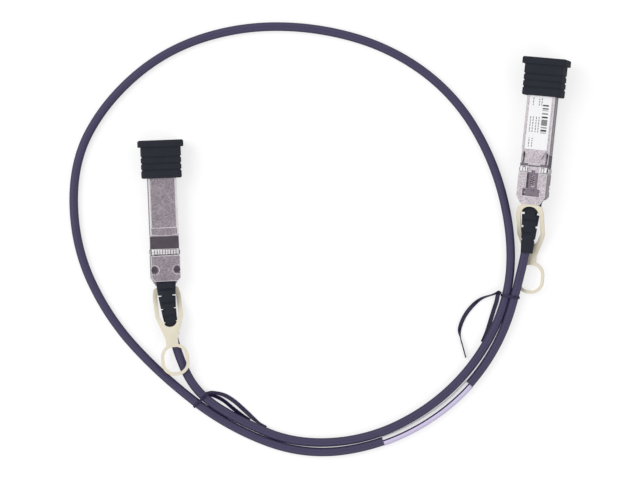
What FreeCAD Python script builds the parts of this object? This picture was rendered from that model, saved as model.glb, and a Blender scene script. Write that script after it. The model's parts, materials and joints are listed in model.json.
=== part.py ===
"""A one metre SFP+ direct attach copper cable, coiled once and tied, with a dust cap on each plug.

Each plug is drawn in its own frame: +Y from the rear of its head to its mating nose, +Z towards its
cover, -Z towards the latch, X across.  One function draws each piece, for both plugs, and the plug's
seat sets it down on the bench.  Bench frame: +Z up, z = 0 on the bench.
"""
import FreeCAD
import Part
import Sketcher
import math
import os
import re

Vector = FreeCAD.Vector
Rotation = FreeCAD.Rotation
Placement = FreeCAD.Placement
X_AXIS = Vector(1, 0, 0)
Y_AXIS = Vector(0, 1, 0)
Z_AXIS = Vector(0, 0, 1)

SIZES = {
    # die-cast shells
    "nose_width": (13.5, "width of the plug where a cage takes it"),
    "nose_height": (8.5, "height of the plug where a cage takes it"),
    "nose_end": (61.0, "rear of the head to the mating face"),
    "head_width": (13.9, "width of the head"),
    "head_height": (10.0, "height of the head"),
    "head_length": (12.3, "length of the head"),
    "cover_bevel": (1.5, "bevel on the cover's rear corners"),
    "wall": (1.25, "side wall of the shells"),
    "roof": (1.2, "wall over and under the hollow"),
    "end_wall": (1.3, "rear wall of the head"),
    "fit_gap": (0.1, "clearance round a seated piece"),
    "edge_break": (0.35, "bevel along the shells' long outer edges"),
    "mouth_wall": (1.4, "front lip of the hollow"),
    "card_slot_width": (10.4, "width of the mouth for the socket"),
    "card_slot_height": (4.4, "height of the mouth for the socket"),
    # cover
    "recess_width": (11.5, "width of the cover's shallow recess"),
    "recess_start": (25.6, "rear edge of the recess"),
    "recess_end": (60.0, "front edge of the recess"),
    "recess_depth": (0.3, "depth of the recess"),
    # spring collar
    "collar_end": (21.6, "front edge of the spring collar's seat"),
    "collar_sheet": (0.25, "sheet of the spring collar"),
    "collar_seat": (0.3, "depth of the collar's seat"),
    "finger_length": (3.0, "length of the collar's arched fingers"),
    "finger_rise": (0.5, "height of the arched fingers"),
    "finger_pitch": (1.28, "spacing of the fingers"),
    "finger_gap": (0.3, "slit between two fingers"),
    "latch_finger_end": (16.8, "front of the collar on the latch side"),
    # latch side
    "tongue_length": (2.6, "tongue behind the head"),
    "tongue_width": (9.2, "width of the tongue's end"),
    "tongue_bevel": (3.8, "length of the bevel beside the tongue"),
    "window_start": (1.3, "rear edge of the window over the strap"),
    "window_end": (5.0, "front edge of the window over the strap"),
    "window_width": (8.4, "width of the window"),
    "bridge_start": (12.6, "rear edge of the bridge over the slider"),
    "bridge_end": (15.4, "front edge of the bridge"),
    "boss_rear": (19.1, "rear face of the locking boss"),
    "boss_front": (23.5, "front of the locking boss"),
    "boss_rear_width": (6.0, "width of the boss at its rear"),
    "boss_front_width": (10.6, "width of the boss at its front"),
    "boss_rise": (0.65, "height of the boss over the latch face"),
    "pocket_depth": (1.0, "depth of the pocket round the boss"),
    # latch slider
    "slider_sheet": (0.5, "sheet of the slider"),
    "slider_depth": (2.6, "slider's inner face from mid height"),
    "slider_width": (5.0, "width of the slider's bar"),
    "slider_rear": (-0.9, "rear end of the slider"),
    "slider_yoke": (8.0, "width of the slider's rear yoke"),
    "ear_span": (7.2, "width over the slider's ears"),
    "ear_length": (1.2, "length of an ear"),
    "notch_along": (2.85, "middle of the notches in the yoke's sides"),
    "notch_size": (0.9, "size of a notch in the yoke's side"),
    "hook_along": (3.9, "rear of the lanced hook on the yoke"),
    "hook_width": (1.8, "width of the hook"),
    "hook_rise": (4.4, "hook's outer end from mid height"),
    "fork_width": (11.6, "width over the slider's fork"),
    "fork_start": (16.0, "rear edge of the fork's crossbar"),
    "fork_bar": (1.5, "length of the fork's crossbar"),
    "fork_end": (22.0, "tips of the fork"),
    "tip_length": (2.2, "length of the raised tips"),
    "tip_rise": (4.9, "tips' outer face from mid height"),
    "arm_rise": (3.75, "arms' outer edge from mid height"),
    "travel": (2.5, "pull of the tab"),
    # return spring
    "spring_wire": (0.3, "wire of the return spring"),
    "spring_coil": (1.35, "mean diameter of the return spring"),
    "spring_rear": (6.2, "rear end of the spring"),
    "spring_front": (11.2, "front end of the spring"),
    "spring_turns": (5, "turns of the spring"),
    "spring_level": (3.45, "spring's axis from mid height"),
    # pull tab
    "tab_sheet": (1.0, "thickness of the pull tab"),
    "strap_width": (8.0, "width of the strap in its tunnel"),
    "strap_front": (1.2, "front end of the strap"),
    "strap_level": (3.75, "middle of the strap from mid height"),
    "loop_width": (13.4, "width over the tab's long loop"),
    "loop_opening": (9.3, "width of the long loop's opening"),
    "loop_shoulder": (7.0, "where the long loop reaches full width"),
    "loop_taper": (17.0, "where the long loop starts to narrow"),
    "loop_end": (27.5, "end of the long loop at the neck"),
    "loop_root": (11.8, "width of the long loop just behind the tongue"),
    "opening_start": (3.7, "start of the long loop's opening"),
    "opening_end": (21.9, "end of the long loop's opening"),
    "neck_width": (5.8, "width of the tab's neck"),
    "ring_start": (30.2, "start of the finger ring"),
    "ring_length": (15.2, "length of the finger ring"),
    "ring_width": (13.4, "width of the finger ring"),
    "ring_strap": (1.5, "strap of the finger ring"),
    # circuit board
    "board_sheet": (1.0, "thickness of the circuit board"),
    "board_rear": (13.8, "rear edge of the board"),
    "board_width": (10.6, "width of the board between the shells"),
    "paddle_start": (47.0, "where the board narrows to its edge connector"),
    "paddle_width": (9.2, "width of the edge connector"),
    "paddle_end": (59.2, "front edge of the board"),
    "pad_pitch": (0.8, "spacing of the gold pads"),
    "pad_width": (0.55, "width of a pad"),
    "pad_length": (3.0, "length of a pad"),
    "pad_count": (10, "pads on each face"),
    "plating": (0.05, "height of a pad"),
    "chip_length": (4.9, "length of the memory chip"),
    "chip_width": (3.9, "width of the memory chip"),
    "chip_height": (1.4, "height of the memory chip"),
    "chip_rear": (24.0, "rear of the memory chip"),
    # cable end
    "cable_diameter": (4.2, "diameter of the round cable"),
    "cable_sides": (12, "flat sides that stand for the cable's round section"),
    "cable_level": (0.6, "cable's axis from mid height"),
    "jacket_start": (3.0, "end of the jacket inside the head"),
    "ferrule_diameter": (4.7, "crimp ferrule's outside diameter"),
    "ferrule_bore": (3.2, "crimp ferrule's bore"),
    "ferrule_length": (4.8, "length of the crimp ferrule"),
    "pair_width": (2.2, "width of a shielded pair"),
    "pair_height": (1.2, "height of a shielded pair"),
    "pair_end": (18.0, "end of the pairs on the board"),
    "pair_spread": (2.6, "pairs' distance from the middle on the board"),
    # moulded boot
    "boot_length": (26.0, "length of the boot"),
    "boot_width": (9.2, "width of the boot's collar"),
    "boot_height": (6.2, "height of the boot's collar"),
    "boot_end_width": (5.5, "width of the boot's end"),
    "boot_end_height": (5.2, "height of the boot's end"),
    "boot_waist_width": (7.2, "width of the boot halfway"),
    "boot_waist_height": (5.9, "height of the boot halfway"),
    "boot_collar": (3.3, "length of the boot's collar"),
    "neck_in_wall": (6.4, "width of the boot where it passes the end wall"),
    "anchor_width": (9.0, "width of the boot's anchor inside the head"),
    "anchor_length": (1.6, "length of the boot's anchor"),
    "anchor_height": (4.6, "height of the boot's anchor"),
    "slot_gap": (1.0, "width of the boot's slots"),
    "first_slot": (3.9, "first slot behind the head"),
    "slot_pitch": (3.15, "spacing of the boot's slots"),
    "slot_core": (4.9, "thickness left between two slots"),
    "slot_web": (0.9, "side web left beside a top slot"),
    # screws
    "screw_across": (5.4, "screws' distance from the middle"),
    "screw_along": (5.5, "screws' distance from the head's rear"),
    "screw_thread": (1.6, "screw thread"),
    "screw_head": (3.0, "screw head"),
    "screw_head_height": (1.0, "height of a screw head"),
    "screw_length": (7.6, "length of a screw under its head"),
    "screw_well": (4.1, "diameter of a screw's well"),
    "screw_well_depth": (1.8, "depth of a screw's well"),
    "dimple": (0.8, "diameter of the dimple under a screw"),
    "drive_size": (0.5, "width of the screws' cross slots"),
    # type label
    "label_sheet": (0.12, "thickness of the type label"),
    "label_width": (10.7, "width of the type label"),
    "label_end": (58.0, "front edge of the type label"),
    # dust cap
    "cap_mouth": (49.1, "open end of the dust cap"),
    "cap_length": (18.1, "length of the dust cap"),
    "cap_width": (18.7, "width of the dust cap"),
    "cap_height": (12.0, "height of the dust cap"),
    "cap_corner": (1.3, "corner radius of the dust cap"),
    "cap_end_wall": (4.6, "solid end of the dust cap"),
    "cap_gap": (0.2, "clearance between cap and nose"),
    "flange_width": (21.2, "width of the cap's flange"),
    "flange_height": (14.0, "height of the cap's flange"),
    "flange_length": (3.2, "thickness of the cap's flange"),
    "groove_depth": (0.35, "depth of the cap's grip grooves"),
    "groove_width": (0.8, "width of a grip groove"),
    "groove_first": (8.0, "first groove from the cap's closed end"),
    "groove_pitch": (3.1, "spacing of the grooves"),
    "groove_count": (3, "grip grooves"),
    # wrap label and ties
    "wrap_diameter": (4.7, "diameter over the wrap label"),
    "wrap_start": (97.7, "start of the wrap label along the cable"),
    "wrap_length": (50.0, "length of the wrap label"),
    "tie_width": (2.2, "width of a twist tie"),
    "tie_sheet": (0.5, "thickness of a twist tie"),
    "tie_gap": (0.3, "clearance between tie and cable"),
    "knot_length": (3.2, "length of a twisted knot"),
    "knot_size": (1.8, "width of a twisted knot"),
    "tail_level": (1.3, "middle of a loose tail above the bench"),
}


class Seat:
    """Where a plug lies on the bench, and how its flexible pieces bend."""

    def __init__(self, side, base, yaw, pitch, roll, boot_bend, tab_lean, ring_shift, tab_levels):
        self.side = side
        turn = Rotation(Z_AXIS, yaw).multiply(Rotation(X_AXIS, pitch)).multiply(Rotation(Y_AXIS, roll))
        self.placement = Placement(Vector(*base), turn)
        self.boot_bend = [math.radians(angle) for angle in boot_bend]
        self.tab_lean = tab_lean
        self.ring_shift = ring_shift
        self.tab_levels = tab_levels


# The left plug lies cover up and the right plug latch up, each leaning on one edge of its cap.
SEATS = (
    Seat("left", (-89.84, -30.91, 5.87), 2.2, 2.2, 8.0, (12.0, -6.5), 3.4, 0.7, (3.1, 3.1)),
    Seat("right", (85.16, 8.19, 6.89), -5.8, 2.76, 162.5, (0.0, -2.0), -3.0, -0.6, (3.8, 3.1)),
)

# The cable's route from the right plug to the left one: corners of its runs, in bench millimetres.
ROUTE = [
    (85.66, 11.19, 6.49), (84.06, -4.71, 5.69), (81.83, -24.68, 5), (71.03, -60.38, 3.1),
    (49.03, -89.38, 2.7), (15.53, -108.98, 2.7), (-22.77, -115.38, 2.5), (-60.27, -101.58, 2.9),
    (-92.27, -76.88, 3), (-117.57, -48.88, 2.3), (-133.27, -14.38, 2.3), (-134.77, 25.12, 2.3),
    (-119.27, 54.62, 2.3), (-91.77, 79.12, 2.3), (-56.77, 90.82, 2.3), (-19.27, 91.12, 2.3),
    (17.73, 81.12, 2.3), (47.73, 58.62, 2.3), (67.43, 26.62, 2.3), (76.13, -9.38, 2.8),
    (73.33, -40.38, 3.1), (58.53, -69.88, 3), (35.23, -91.88, 2.5), (6.23, -107.38, 2.4),
    (-27.27, -109.28, 2.4), (-54.77, -98.38, 2.9), (-74.07, -84.58, 3.1), (-83.37, -66.88, 3),
    (-89.34, -43.91, 5.97), (-89.94, -27.91, 6.57),
]

# Ties: two distances along the cable, the side of the knot, and the corners of the loose tails.
TIES = {
    "right_twist_tie": ((51.1, 700.5), 1, [
        [(68.83, -36.98), (60.73, -38.98), (51.23, -47.38), (50.23, -57.38), (53.83, -67.78)],
        [(69.13, -37.28), (67.83, -42.88), (65.13, -50.38)]]),
    "left_twist_tie": ((243.3, 882.2), 1, [
        [(-68.37, -84.18), (-61.77, -85.38), (-55.27, -90.38), (-45.37, -98.98)],
        [(-68.37, -85.38), (-63.77, -87.98), (-59.97, -90.98)]]),
}


doc = FreeCAD.newDocument("direct_attach_cable")
sheet = doc.addObject("Spreadsheet::Sheet", "sheet")
for row, (name, (value, meaning)) in enumerate(SIZES.items(), start=1):
    sheet.set(f"A{row}", name)
    sheet.set(f"B{row}", str(value))
    sheet.set(f"C{row}", meaning)
    sheet.setAlias(f"B{row}", name)
doc.recompute()


# ---- drawing tools: every size is a formula in the sheet's names ----

def formula(text):
    """The formula with each of the sheet's names pointing at its cell."""
    return re.sub(r"[A-Za-z_]\w*", lambda word: ("sheet." if word[0] in SIZES else "") + word[0], text)


def block(name, x, y, z):
    """A box between two limits along each axis."""
    box = doc.addObject("Part::Box", name)
    for length, place, (low, high) in zip(("Length", "Width", "Height"), "xyz", (x, y, z)):
        box.setExpression(length, formula(f"({high}) - ({low})"))
        box.setExpression(f"Placement.Base.{place}", formula(low))
    return box


def across(width):
    """Limits of a width centred on the middle."""
    return f"-({width}) / 2", f"({width}) / 2"


def rod(name, radius, axis, start, length, x="0", y="0", z="0"):
    """A cylinder along an axis, from its start."""
    cylinder = doc.addObject("Part::Cylinder", name)
    cylinder.Placement.Rotation = Rotation(Z_AXIS, axis)
    cylinder.setExpression("Radius", formula(radius))
    cylinder.setExpression("Height", formula(length))
    origin = {"x": x, "y": y, "z": z}
    origin["xyz"[list(axis).index(1)]] = start
    for place, text in origin.items():
        cylinder.setExpression(f"Placement.Base.{place}", formula(text))
    return cylinder


def fuse(name, *pieces):
    """One solid of several."""
    joined = doc.addObject("Part::MultiFuse", name)
    joined.Shapes = list(pieces)
    joined.Refine = True
    doc.recompute()
    return joined


def cut(name, base, *tools):
    """The base less its tools."""
    result = doc.addObject("Part::Cut", name)
    result.Base = base
    result.Tool = tools[0] if len(tools) == 1 else fuse(f"{name}_tools", *tools)
    result.Refine = True
    doc.recompute()
    return result


def common(name, first, second):
    """What two pieces share."""
    result = doc.addObject("Part::Common", name)
    result.Base = first
    result.Tool = second
    doc.recompute()
    return result


def group(name, *pieces):
    """Separate solids in one node."""
    together = doc.addObject("Part::Compound", name)
    together.Links = list(pieces)
    doc.recompute()
    return together


def along(direction, *limits):
    """Chooses straight edges along a direction whose middles lie within the limits, if any."""
    def chooses(edge):
        if not isinstance(edge.Curve, Part.Line) or not edge.Curve.Direction.cross(direction).Length < 1e-6:
            return False
        middle = edge.CenterOfMass
        return all(low <= middle[place] <= high for place, low, high in limits)
    return chooses


def long_corners(width, height, start, end):
    """Chooses the edges along a plug at the corners of its section, between two places along it."""
    lengthwise = along(Y_AXIS, (1, start, end))

    def chooses(edge):
        x, _, z = edge.CenterOfMass
        return lengthwise(edge) and abs(abs(x) - width / 2) < 0.01 and abs(abs(z) - height / 2) < 0.01
    return chooses


def soften(name, base, radius, chooses, kind="Part::Fillet"):
    """Rounds or bevels the chosen edges."""
    softened = doc.addObject(kind, name)
    softened.Base = base
    softened.Edges = [(number, radius, radius)
                      for number, edge in enumerate(base.Shape.Edges, start=1) if chooses(edge)]
    doc.recompute()
    return softened


def draw(container, name, plane, level, outlines):
    """A sketch of closed outlines, each a list of corners, in a plane at a level along its normal."""
    if container is doc:
        sketch = doc.addObject("Sketcher::SketchObject", name)
        tilt = {"XY": Rotation(), "XZ": Rotation(X_AXIS, 90), "YZ": Rotation(0.5, 0.5, 0.5, 0.5)}[plane]
        sketch.Placement = Placement(Vector(), tilt)
        place, sign = {"XY": ("z", ""), "XZ": ("y", "-"), "YZ": ("x", "")}[plane]
        sketch.setExpression(f"Placement.Base.{place}", formula(f"{sign}({level})"))
    else:
        sketch = container.newObject("Sketcher::SketchObject", name)
        roles = {feature.Role: feature for feature in container.Origin.OriginFeatures}
        sketch.AttachmentSupport = [(roles[f"{plane}_Plane"], "")]
        sketch.MapMode = "FlatFace"
        sketch.setExpression("AttachmentOffset.Base.z", formula(level))
    for outline in outlines:
        first = sketch.GeometryCount
        count = len(outline)
        spread = [Vector(math.cos(math.tau * corner / count), math.sin(math.tau * corner / count), 0)
                  for corner in range(count)]
        for corner in range(count):
            sketch.addGeometry(Part.LineSegment(spread[corner], spread[(corner + 1) % count]), False)
        for corner, (across_text, up_text) in enumerate(outline):
            line = first + corner
            sketch.addConstraint(Sketcher.Constraint("Coincident", line, 2, first + (corner + 1) % count, 1))
            for kind, text in (("DistanceX", across_text), ("DistanceY", up_text)):
                number = sketch.addConstraint(Sketcher.Constraint(kind, -1, 1, line, 1, 1.0))
                sketch.renameConstraint(number, f"{kind}_{line}")
                sketch.setExpression(f"Constraints.{kind}_{line}", formula(text))
    return sketch


def mirrored(corners):
    """A closed outline from its right half, given from one end of the middle line to the other."""
    return corners + [(f"-({x})", y) for x, y in reversed(corners)]


def rectangle(x, y):
    """A closed outline between two limits along each axis."""
    return [(x[0], y[0]), (x[1], y[0]), (x[1], y[1]), (x[0], y[1])]


def rounded(name, width, height, radius):
    """A sketch of a rectangle with round corners about the origin."""
    sketch = doc.addObject("Sketcher::SketchObject", name)
    flats = [((-1, -2), (1, -2)), ((2, -1), (2, 1)), ((1, 2), (-1, 2)), ((-2, 1), (-2, -1))]
    for start, end in flats:
        sketch.addGeometry(Part.LineSegment(Vector(*start, 0), Vector(*end, 0)), False)
    for corner, centre in enumerate([(1, -1), (1, 1), (-1, 1), (-1, -1)]):
        circle = Part.Circle(Vector(*centre, 0), Z_AXIS, 1)
        start = (corner - 1) * math.pi / 2
        sketch.addGeometry(Part.ArcOfCircle(circle, start, start + math.pi / 2), False)
    for corner in range(4):
        sketch.addConstraint(Sketcher.Constraint("Tangent", corner, 2, 4 + corner, 1))
        sketch.addConstraint(Sketcher.Constraint("Tangent", 4 + corner, 2, (corner + 1) % 4, 1))
        sketch.addConstraint(Sketcher.Constraint(("Horizontal", "Vertical")[corner % 2], corner))
        if corner:
            sketch.addConstraint(Sketcher.Constraint("Equal", 4, 4 + corner))
    sketch.addConstraint(Sketcher.Constraint("Symmetric", 3, 1, 1, 1, -1, 1))
    for constraint, text in ((Sketcher.Constraint("DistanceX", 3, 1, 1, 1, 4.0), width),
                             (Sketcher.Constraint("DistanceY", 0, 1, 2, 1, 4.0), height),
                             (Sketcher.Constraint("Radius", 4, 1.0), radius)):
        number = sketch.addConstraint(constraint)
        sketch.renameConstraint(number, f"size_{number}")
        sketch.setExpression(f"Constraints.size_{number}", formula(text))
    return sketch


def extrude(name, profile, length, lift=None):
    """A solid pushed out of a sketch along its normal, both sketch and solid first lifted if asked."""
    solid = doc.addObject("Part::Extrusion", name)
    solid.Base = profile
    solid.DirMode = "Normal"
    solid.Solid = True
    solid.setExpression("LengthFwd", formula(length))
    if lift:
        profile.Placement = lift
    doc.recompute()
    return solid


def pad(body, sketch, length, flip=False):
    """Pushes a sketch out of a body."""
    feature = body.newObject("PartDesign::Pad", "pad")
    feature.Profile = sketch
    feature.setExpression("Length", formula(length))
    feature.Reversed = flip
    doc.recompute()
    return feature


def pocket(body, sketch, depth, flip=False):
    """Sinks a sketch into a body."""
    before = body.Shape.Volume
    feature = body.newObject("PartDesign::Pocket", "pocket")
    feature.Profile = sketch
    feature.setExpression("Length", formula(depth))
    feature.Reversed = flip
    doc.recompute()
    if not body.Shape.Volume < before - 1e-6:
        raise RuntimeError(f"{sketch.Label} cuts nothing from {body.Label}")
    return feature


def finish(seat, node, piece):
    """Names a finished piece of a plug and lays it on the bench."""
    piece.Label = f"{seat.side}_{node}"
    piece.Placement = seat.placement
    return piece


# ---- routes of straight runs joined by tangent arcs ----

def run_edges(points, radii=None):
    """Edges of a route through its corners; each arc is as large as its two runs allow."""
    corners = [Vector(*point) for point in points]
    edges = []
    start = corners[0]
    for number, (before, corner, after) in enumerate(zip(corners, corners[1:], corners[2:])):
        back, ahead = before - corner, after - corner
        half_turn = (math.pi - back.getAngle(ahead)) / 2
        if radii is None:
            reach = 0.45 * min(back.Length, ahead.Length)
        else:
            reach = radii[number] * math.tan(half_turn)
        radius = reach / math.tan(half_turn)
        back.normalize()
        ahead.normalize()
        to_middle = (back + ahead).normalize() * (radius / math.cos(half_turn) - radius)
        arc_start, arc_end = corner + back * reach, corner + ahead * reach
        edges.append(Part.LineSegment(start, arc_start).toShape())
        edges.append(Part.Arc(arc_start, corner + to_middle, arc_end).toShape())
        start = arc_end
    edges.append(Part.LineSegment(start, corners[-1]).toShape())
    return edges


def where(edges, distance):
    """Position and direction on a route, a distance from its start."""
    for edge in edges:
        if distance <= edge.Length:
            parameter = edge.getParameterByLength(distance)
            return edge.valueAt(parameter), edge.tangentAt(parameter)
        distance -= edge.Length
    raise ValueError("the distance is longer than the route")


def stretch(edges, start, end):
    """The part of a route between two distances from its start."""
    kept = []
    for edge in edges:
        low, high = max(start, 0), min(end, edge.Length)
        if low < high:
            limits = [edge.getParameterByLength(distance) for distance in (low, high)]
            kept.append(edge.Curve.toShape(*limits))
        start -= edge.Length
        end -= edge.Length
    return kept


def swept(name, edges, section):
    """A solid piped along a route, with a plain round or flat face for each run and arc."""
    piece = doc.addObject("Part::Feature", name)
    piece.Shape = Part.Wire(edges).makePipe(Part.Face(section))
    return piece


def tube(name, edges, diameter, sides=0):
    """A rod along a route, round or with a number of flat sides."""
    position, direction = where(edges, 0)
    if not sides:
        return swept(name, edges, Part.Wire(Part.makeCircle(diameter / 2, position, direction)))
    facing = Rotation(direction, Vector(0, 0, 1), Vector(), "XZY")
    corners = [position + facing.multVec(Vector(0, math.cos(angle), math.sin(angle))) * (diameter / 2)
               for angle in (math.tau * (side % sides) / sides for side in range(sides + 1))]
    return swept(name, edges, Part.makePolygon(corners))


def ribbon(name, edges, width, thickness):
    """A flat strip on its edge along a level route."""
    position, direction = where(edges, 0)
    out = direction.cross(Z_AXIS) * (thickness / 2)
    up = Z_AXIS * (width / 2)
    corners = [position + out * a + up * b for a, b in ((-1, -1), (1, -1), (1, 1), (-1, 1), (-1, -1))]
    return swept(name, edges, Part.makePolygon(corners))


def bent_strip(name, points, radii, thickness, width):
    """A strip of sheet bent along a route in the YZ plane, centred across the middle."""
    def side(offset):
        shifted = []
        for number, point in enumerate(points):
            near = [points[index] for index in (number - 1, number, number + 1) if 0 <= index < len(points)]
            normals = []
            for (y1, z1), (y2, z2) in zip(near, near[1:]):
                length = math.hypot(y2 - y1, z2 - z1)
                normals.append(((z1 - z2) / length, (y2 - y1) / length))
            if len(normals) == 1:
                normal, stretch = normals[0], 1.0
            else:
                total = (normals[0][0] + normals[1][0], normals[0][1] + normals[1][1])
                length = math.hypot(*total)
                normal, stretch = (total[0] / length, total[1] / length), 2 / length
            shifted.append((0, point[0] + normal[0] * offset * stretch, point[1] + normal[1] * offset * stretch))
        turns = []
        for (y1, z1), (y2, z2), (y3, z3) in zip(points, points[1:], points[2:]):
            turns.append(1 if (y2 - y1) * (z3 - z2) - (z2 - z1) * (y3 - y2) > 0 else -1)
        return run_edges(shifted, [radius - turn * offset for radius, turn in zip(radii, turns)])
    upper, lower = side(thickness / 2), side(-thickness / 2)
    ends = [Part.LineSegment(upper[end].Vertexes[end].Point, lower[end].Vertexes[end].Point).toShape()
            for end in (0, -1)]
    outline = doc.addObject("Part::Feature", f"{name}_profile")
    outline.Shape = Part.Wire(Part.__sortEdges__(upper + lower + ends))
    strip = doc.addObject("Part::Extrusion", name)
    strip.Base = outline
    strip.DirMode = "Custom"
    strip.Dir = X_AXIS
    strip.LengthFwd = width / 2
    strip.LengthRev = width / 2
    strip.Solid = True
    doc.recompute()
    return strip


# ---- die-cast shells ----

def top_shell(seat):
    """The cover: a shallow hollow lid whose head carries two screw wells."""
    body = doc.addObject("PartDesign::Body", "top_shell")
    nose = rectangle(across("nose_width"), ("head_length - 1", "nose_end"))
    pad(body, draw(body, "nose", "XY", "0", [nose]), "nose_height / 2")
    head = mirrored([("head_width / 2 - cover_bevel", "0"), ("head_width / 2", "cover_bevel"),
                     ("head_width / 2", "head_length")])
    pad(body, draw(body, "head", "XY", "0", [head]), "head_height / 2")
    recess = rectangle(across("recess_width"), ("recess_start", "recess_end"))
    pocket(body, draw(body, "recess", "XY", "nose_height / 2", [recess]), "recess_depth")
    pocket(body, draw(body, "collar_top", "XY", "nose_height / 2", [mirrored([
        ("nose_width / 2 + 1", "head_length"), ("nose_width / 2 + 1", "collar_end + 0.6"),
        ("nose_width / 8", "collar_end")])]), "collar_seat")
    sides = [rectangle((f"{sign}(nose_width / 2 - collar_seat)", f"{sign}(nose_width / 2 + 1)"),
                       ("head_length", "collar_end")) for sign in ("", "-")]
    pocket(body, draw(body, "collar_sides", "XY", "nose_height / 2", sides), "nose_height / 2")
    hollows = (
        ("hollow", "nose_width - 2 * wall", "head_length + 0.9", "nose_end - mouth_wall",
         "nose_height / 2 - roof - recess_depth"),
        ("mouth", "card_slot_width", "nose_end - mouth_wall - 1", "nose_end + 1", "card_slot_height / 2"),
        ("ferrule_bed", "ferrule_diameter + 4 * fit_gap + 1", "end_wall + anchor_length + 2 * fit_gap",
         "head_length + 1", "cable_level + ferrule_diameter / 2 + fit_gap"),
        ("pair_space", "2 * pair_spread + pair_width + 1", "screw_along + screw_head", "head_length + 1",
         "cable_level + ferrule_diameter / 2 + fit_gap"),
        ("anchor_slot", "anchor_width + 2 * fit_gap", "end_wall", "end_wall + anchor_length + 2 * fit_gap + 0.1",
         "cable_level + anchor_height / 2 + fit_gap"),
        ("neck_slot", "neck_in_wall + 2 * fit_gap", "-1", "end_wall + 0.1",
         "cable_level + anchor_height / 2 + fit_gap"),
    )
    for name, width, rear, front, depth in hollows:
        outline = rectangle(across(width), (rear, front))
        pocket(body, draw(body, name, "XY", "0", [outline]), depth, flip=True)
    drilled = drill_screws(body, "head_height / 2", "screw_thread / 2 + 0.25")
    return finish(seat, "top_shell", broken_edges("cover_edges", drilled))


def broken_edges(name, shell):
    """A shell with the long outer edges of its nose bevelled."""
    nose = long_corners(sheet.nose_width, sheet.nose_height, sheet.collar_end, sheet.nose_end)
    return soften(name, shell, sheet.edge_break, nose, "Part::Chamfer")


def drill_screws(body, top, radius):
    """The cover with its screw wells and clearance holes."""
    wells = [rod("well", "screw_well / 2", Z_AXIS, f"{top} - screw_well_depth", "screw_well_depth + 1",
                 x=f"{sign}screw_across", y="screw_along") for sign in ("", "-")]
    holes = [rod("hole", radius, Z_AXIS, "-1", f"{top} + 1",
                 x=f"{sign}screw_across", y="screw_along") for sign in ("", "-")]
    return cut("drilled", body, *wells, *holes)


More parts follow.
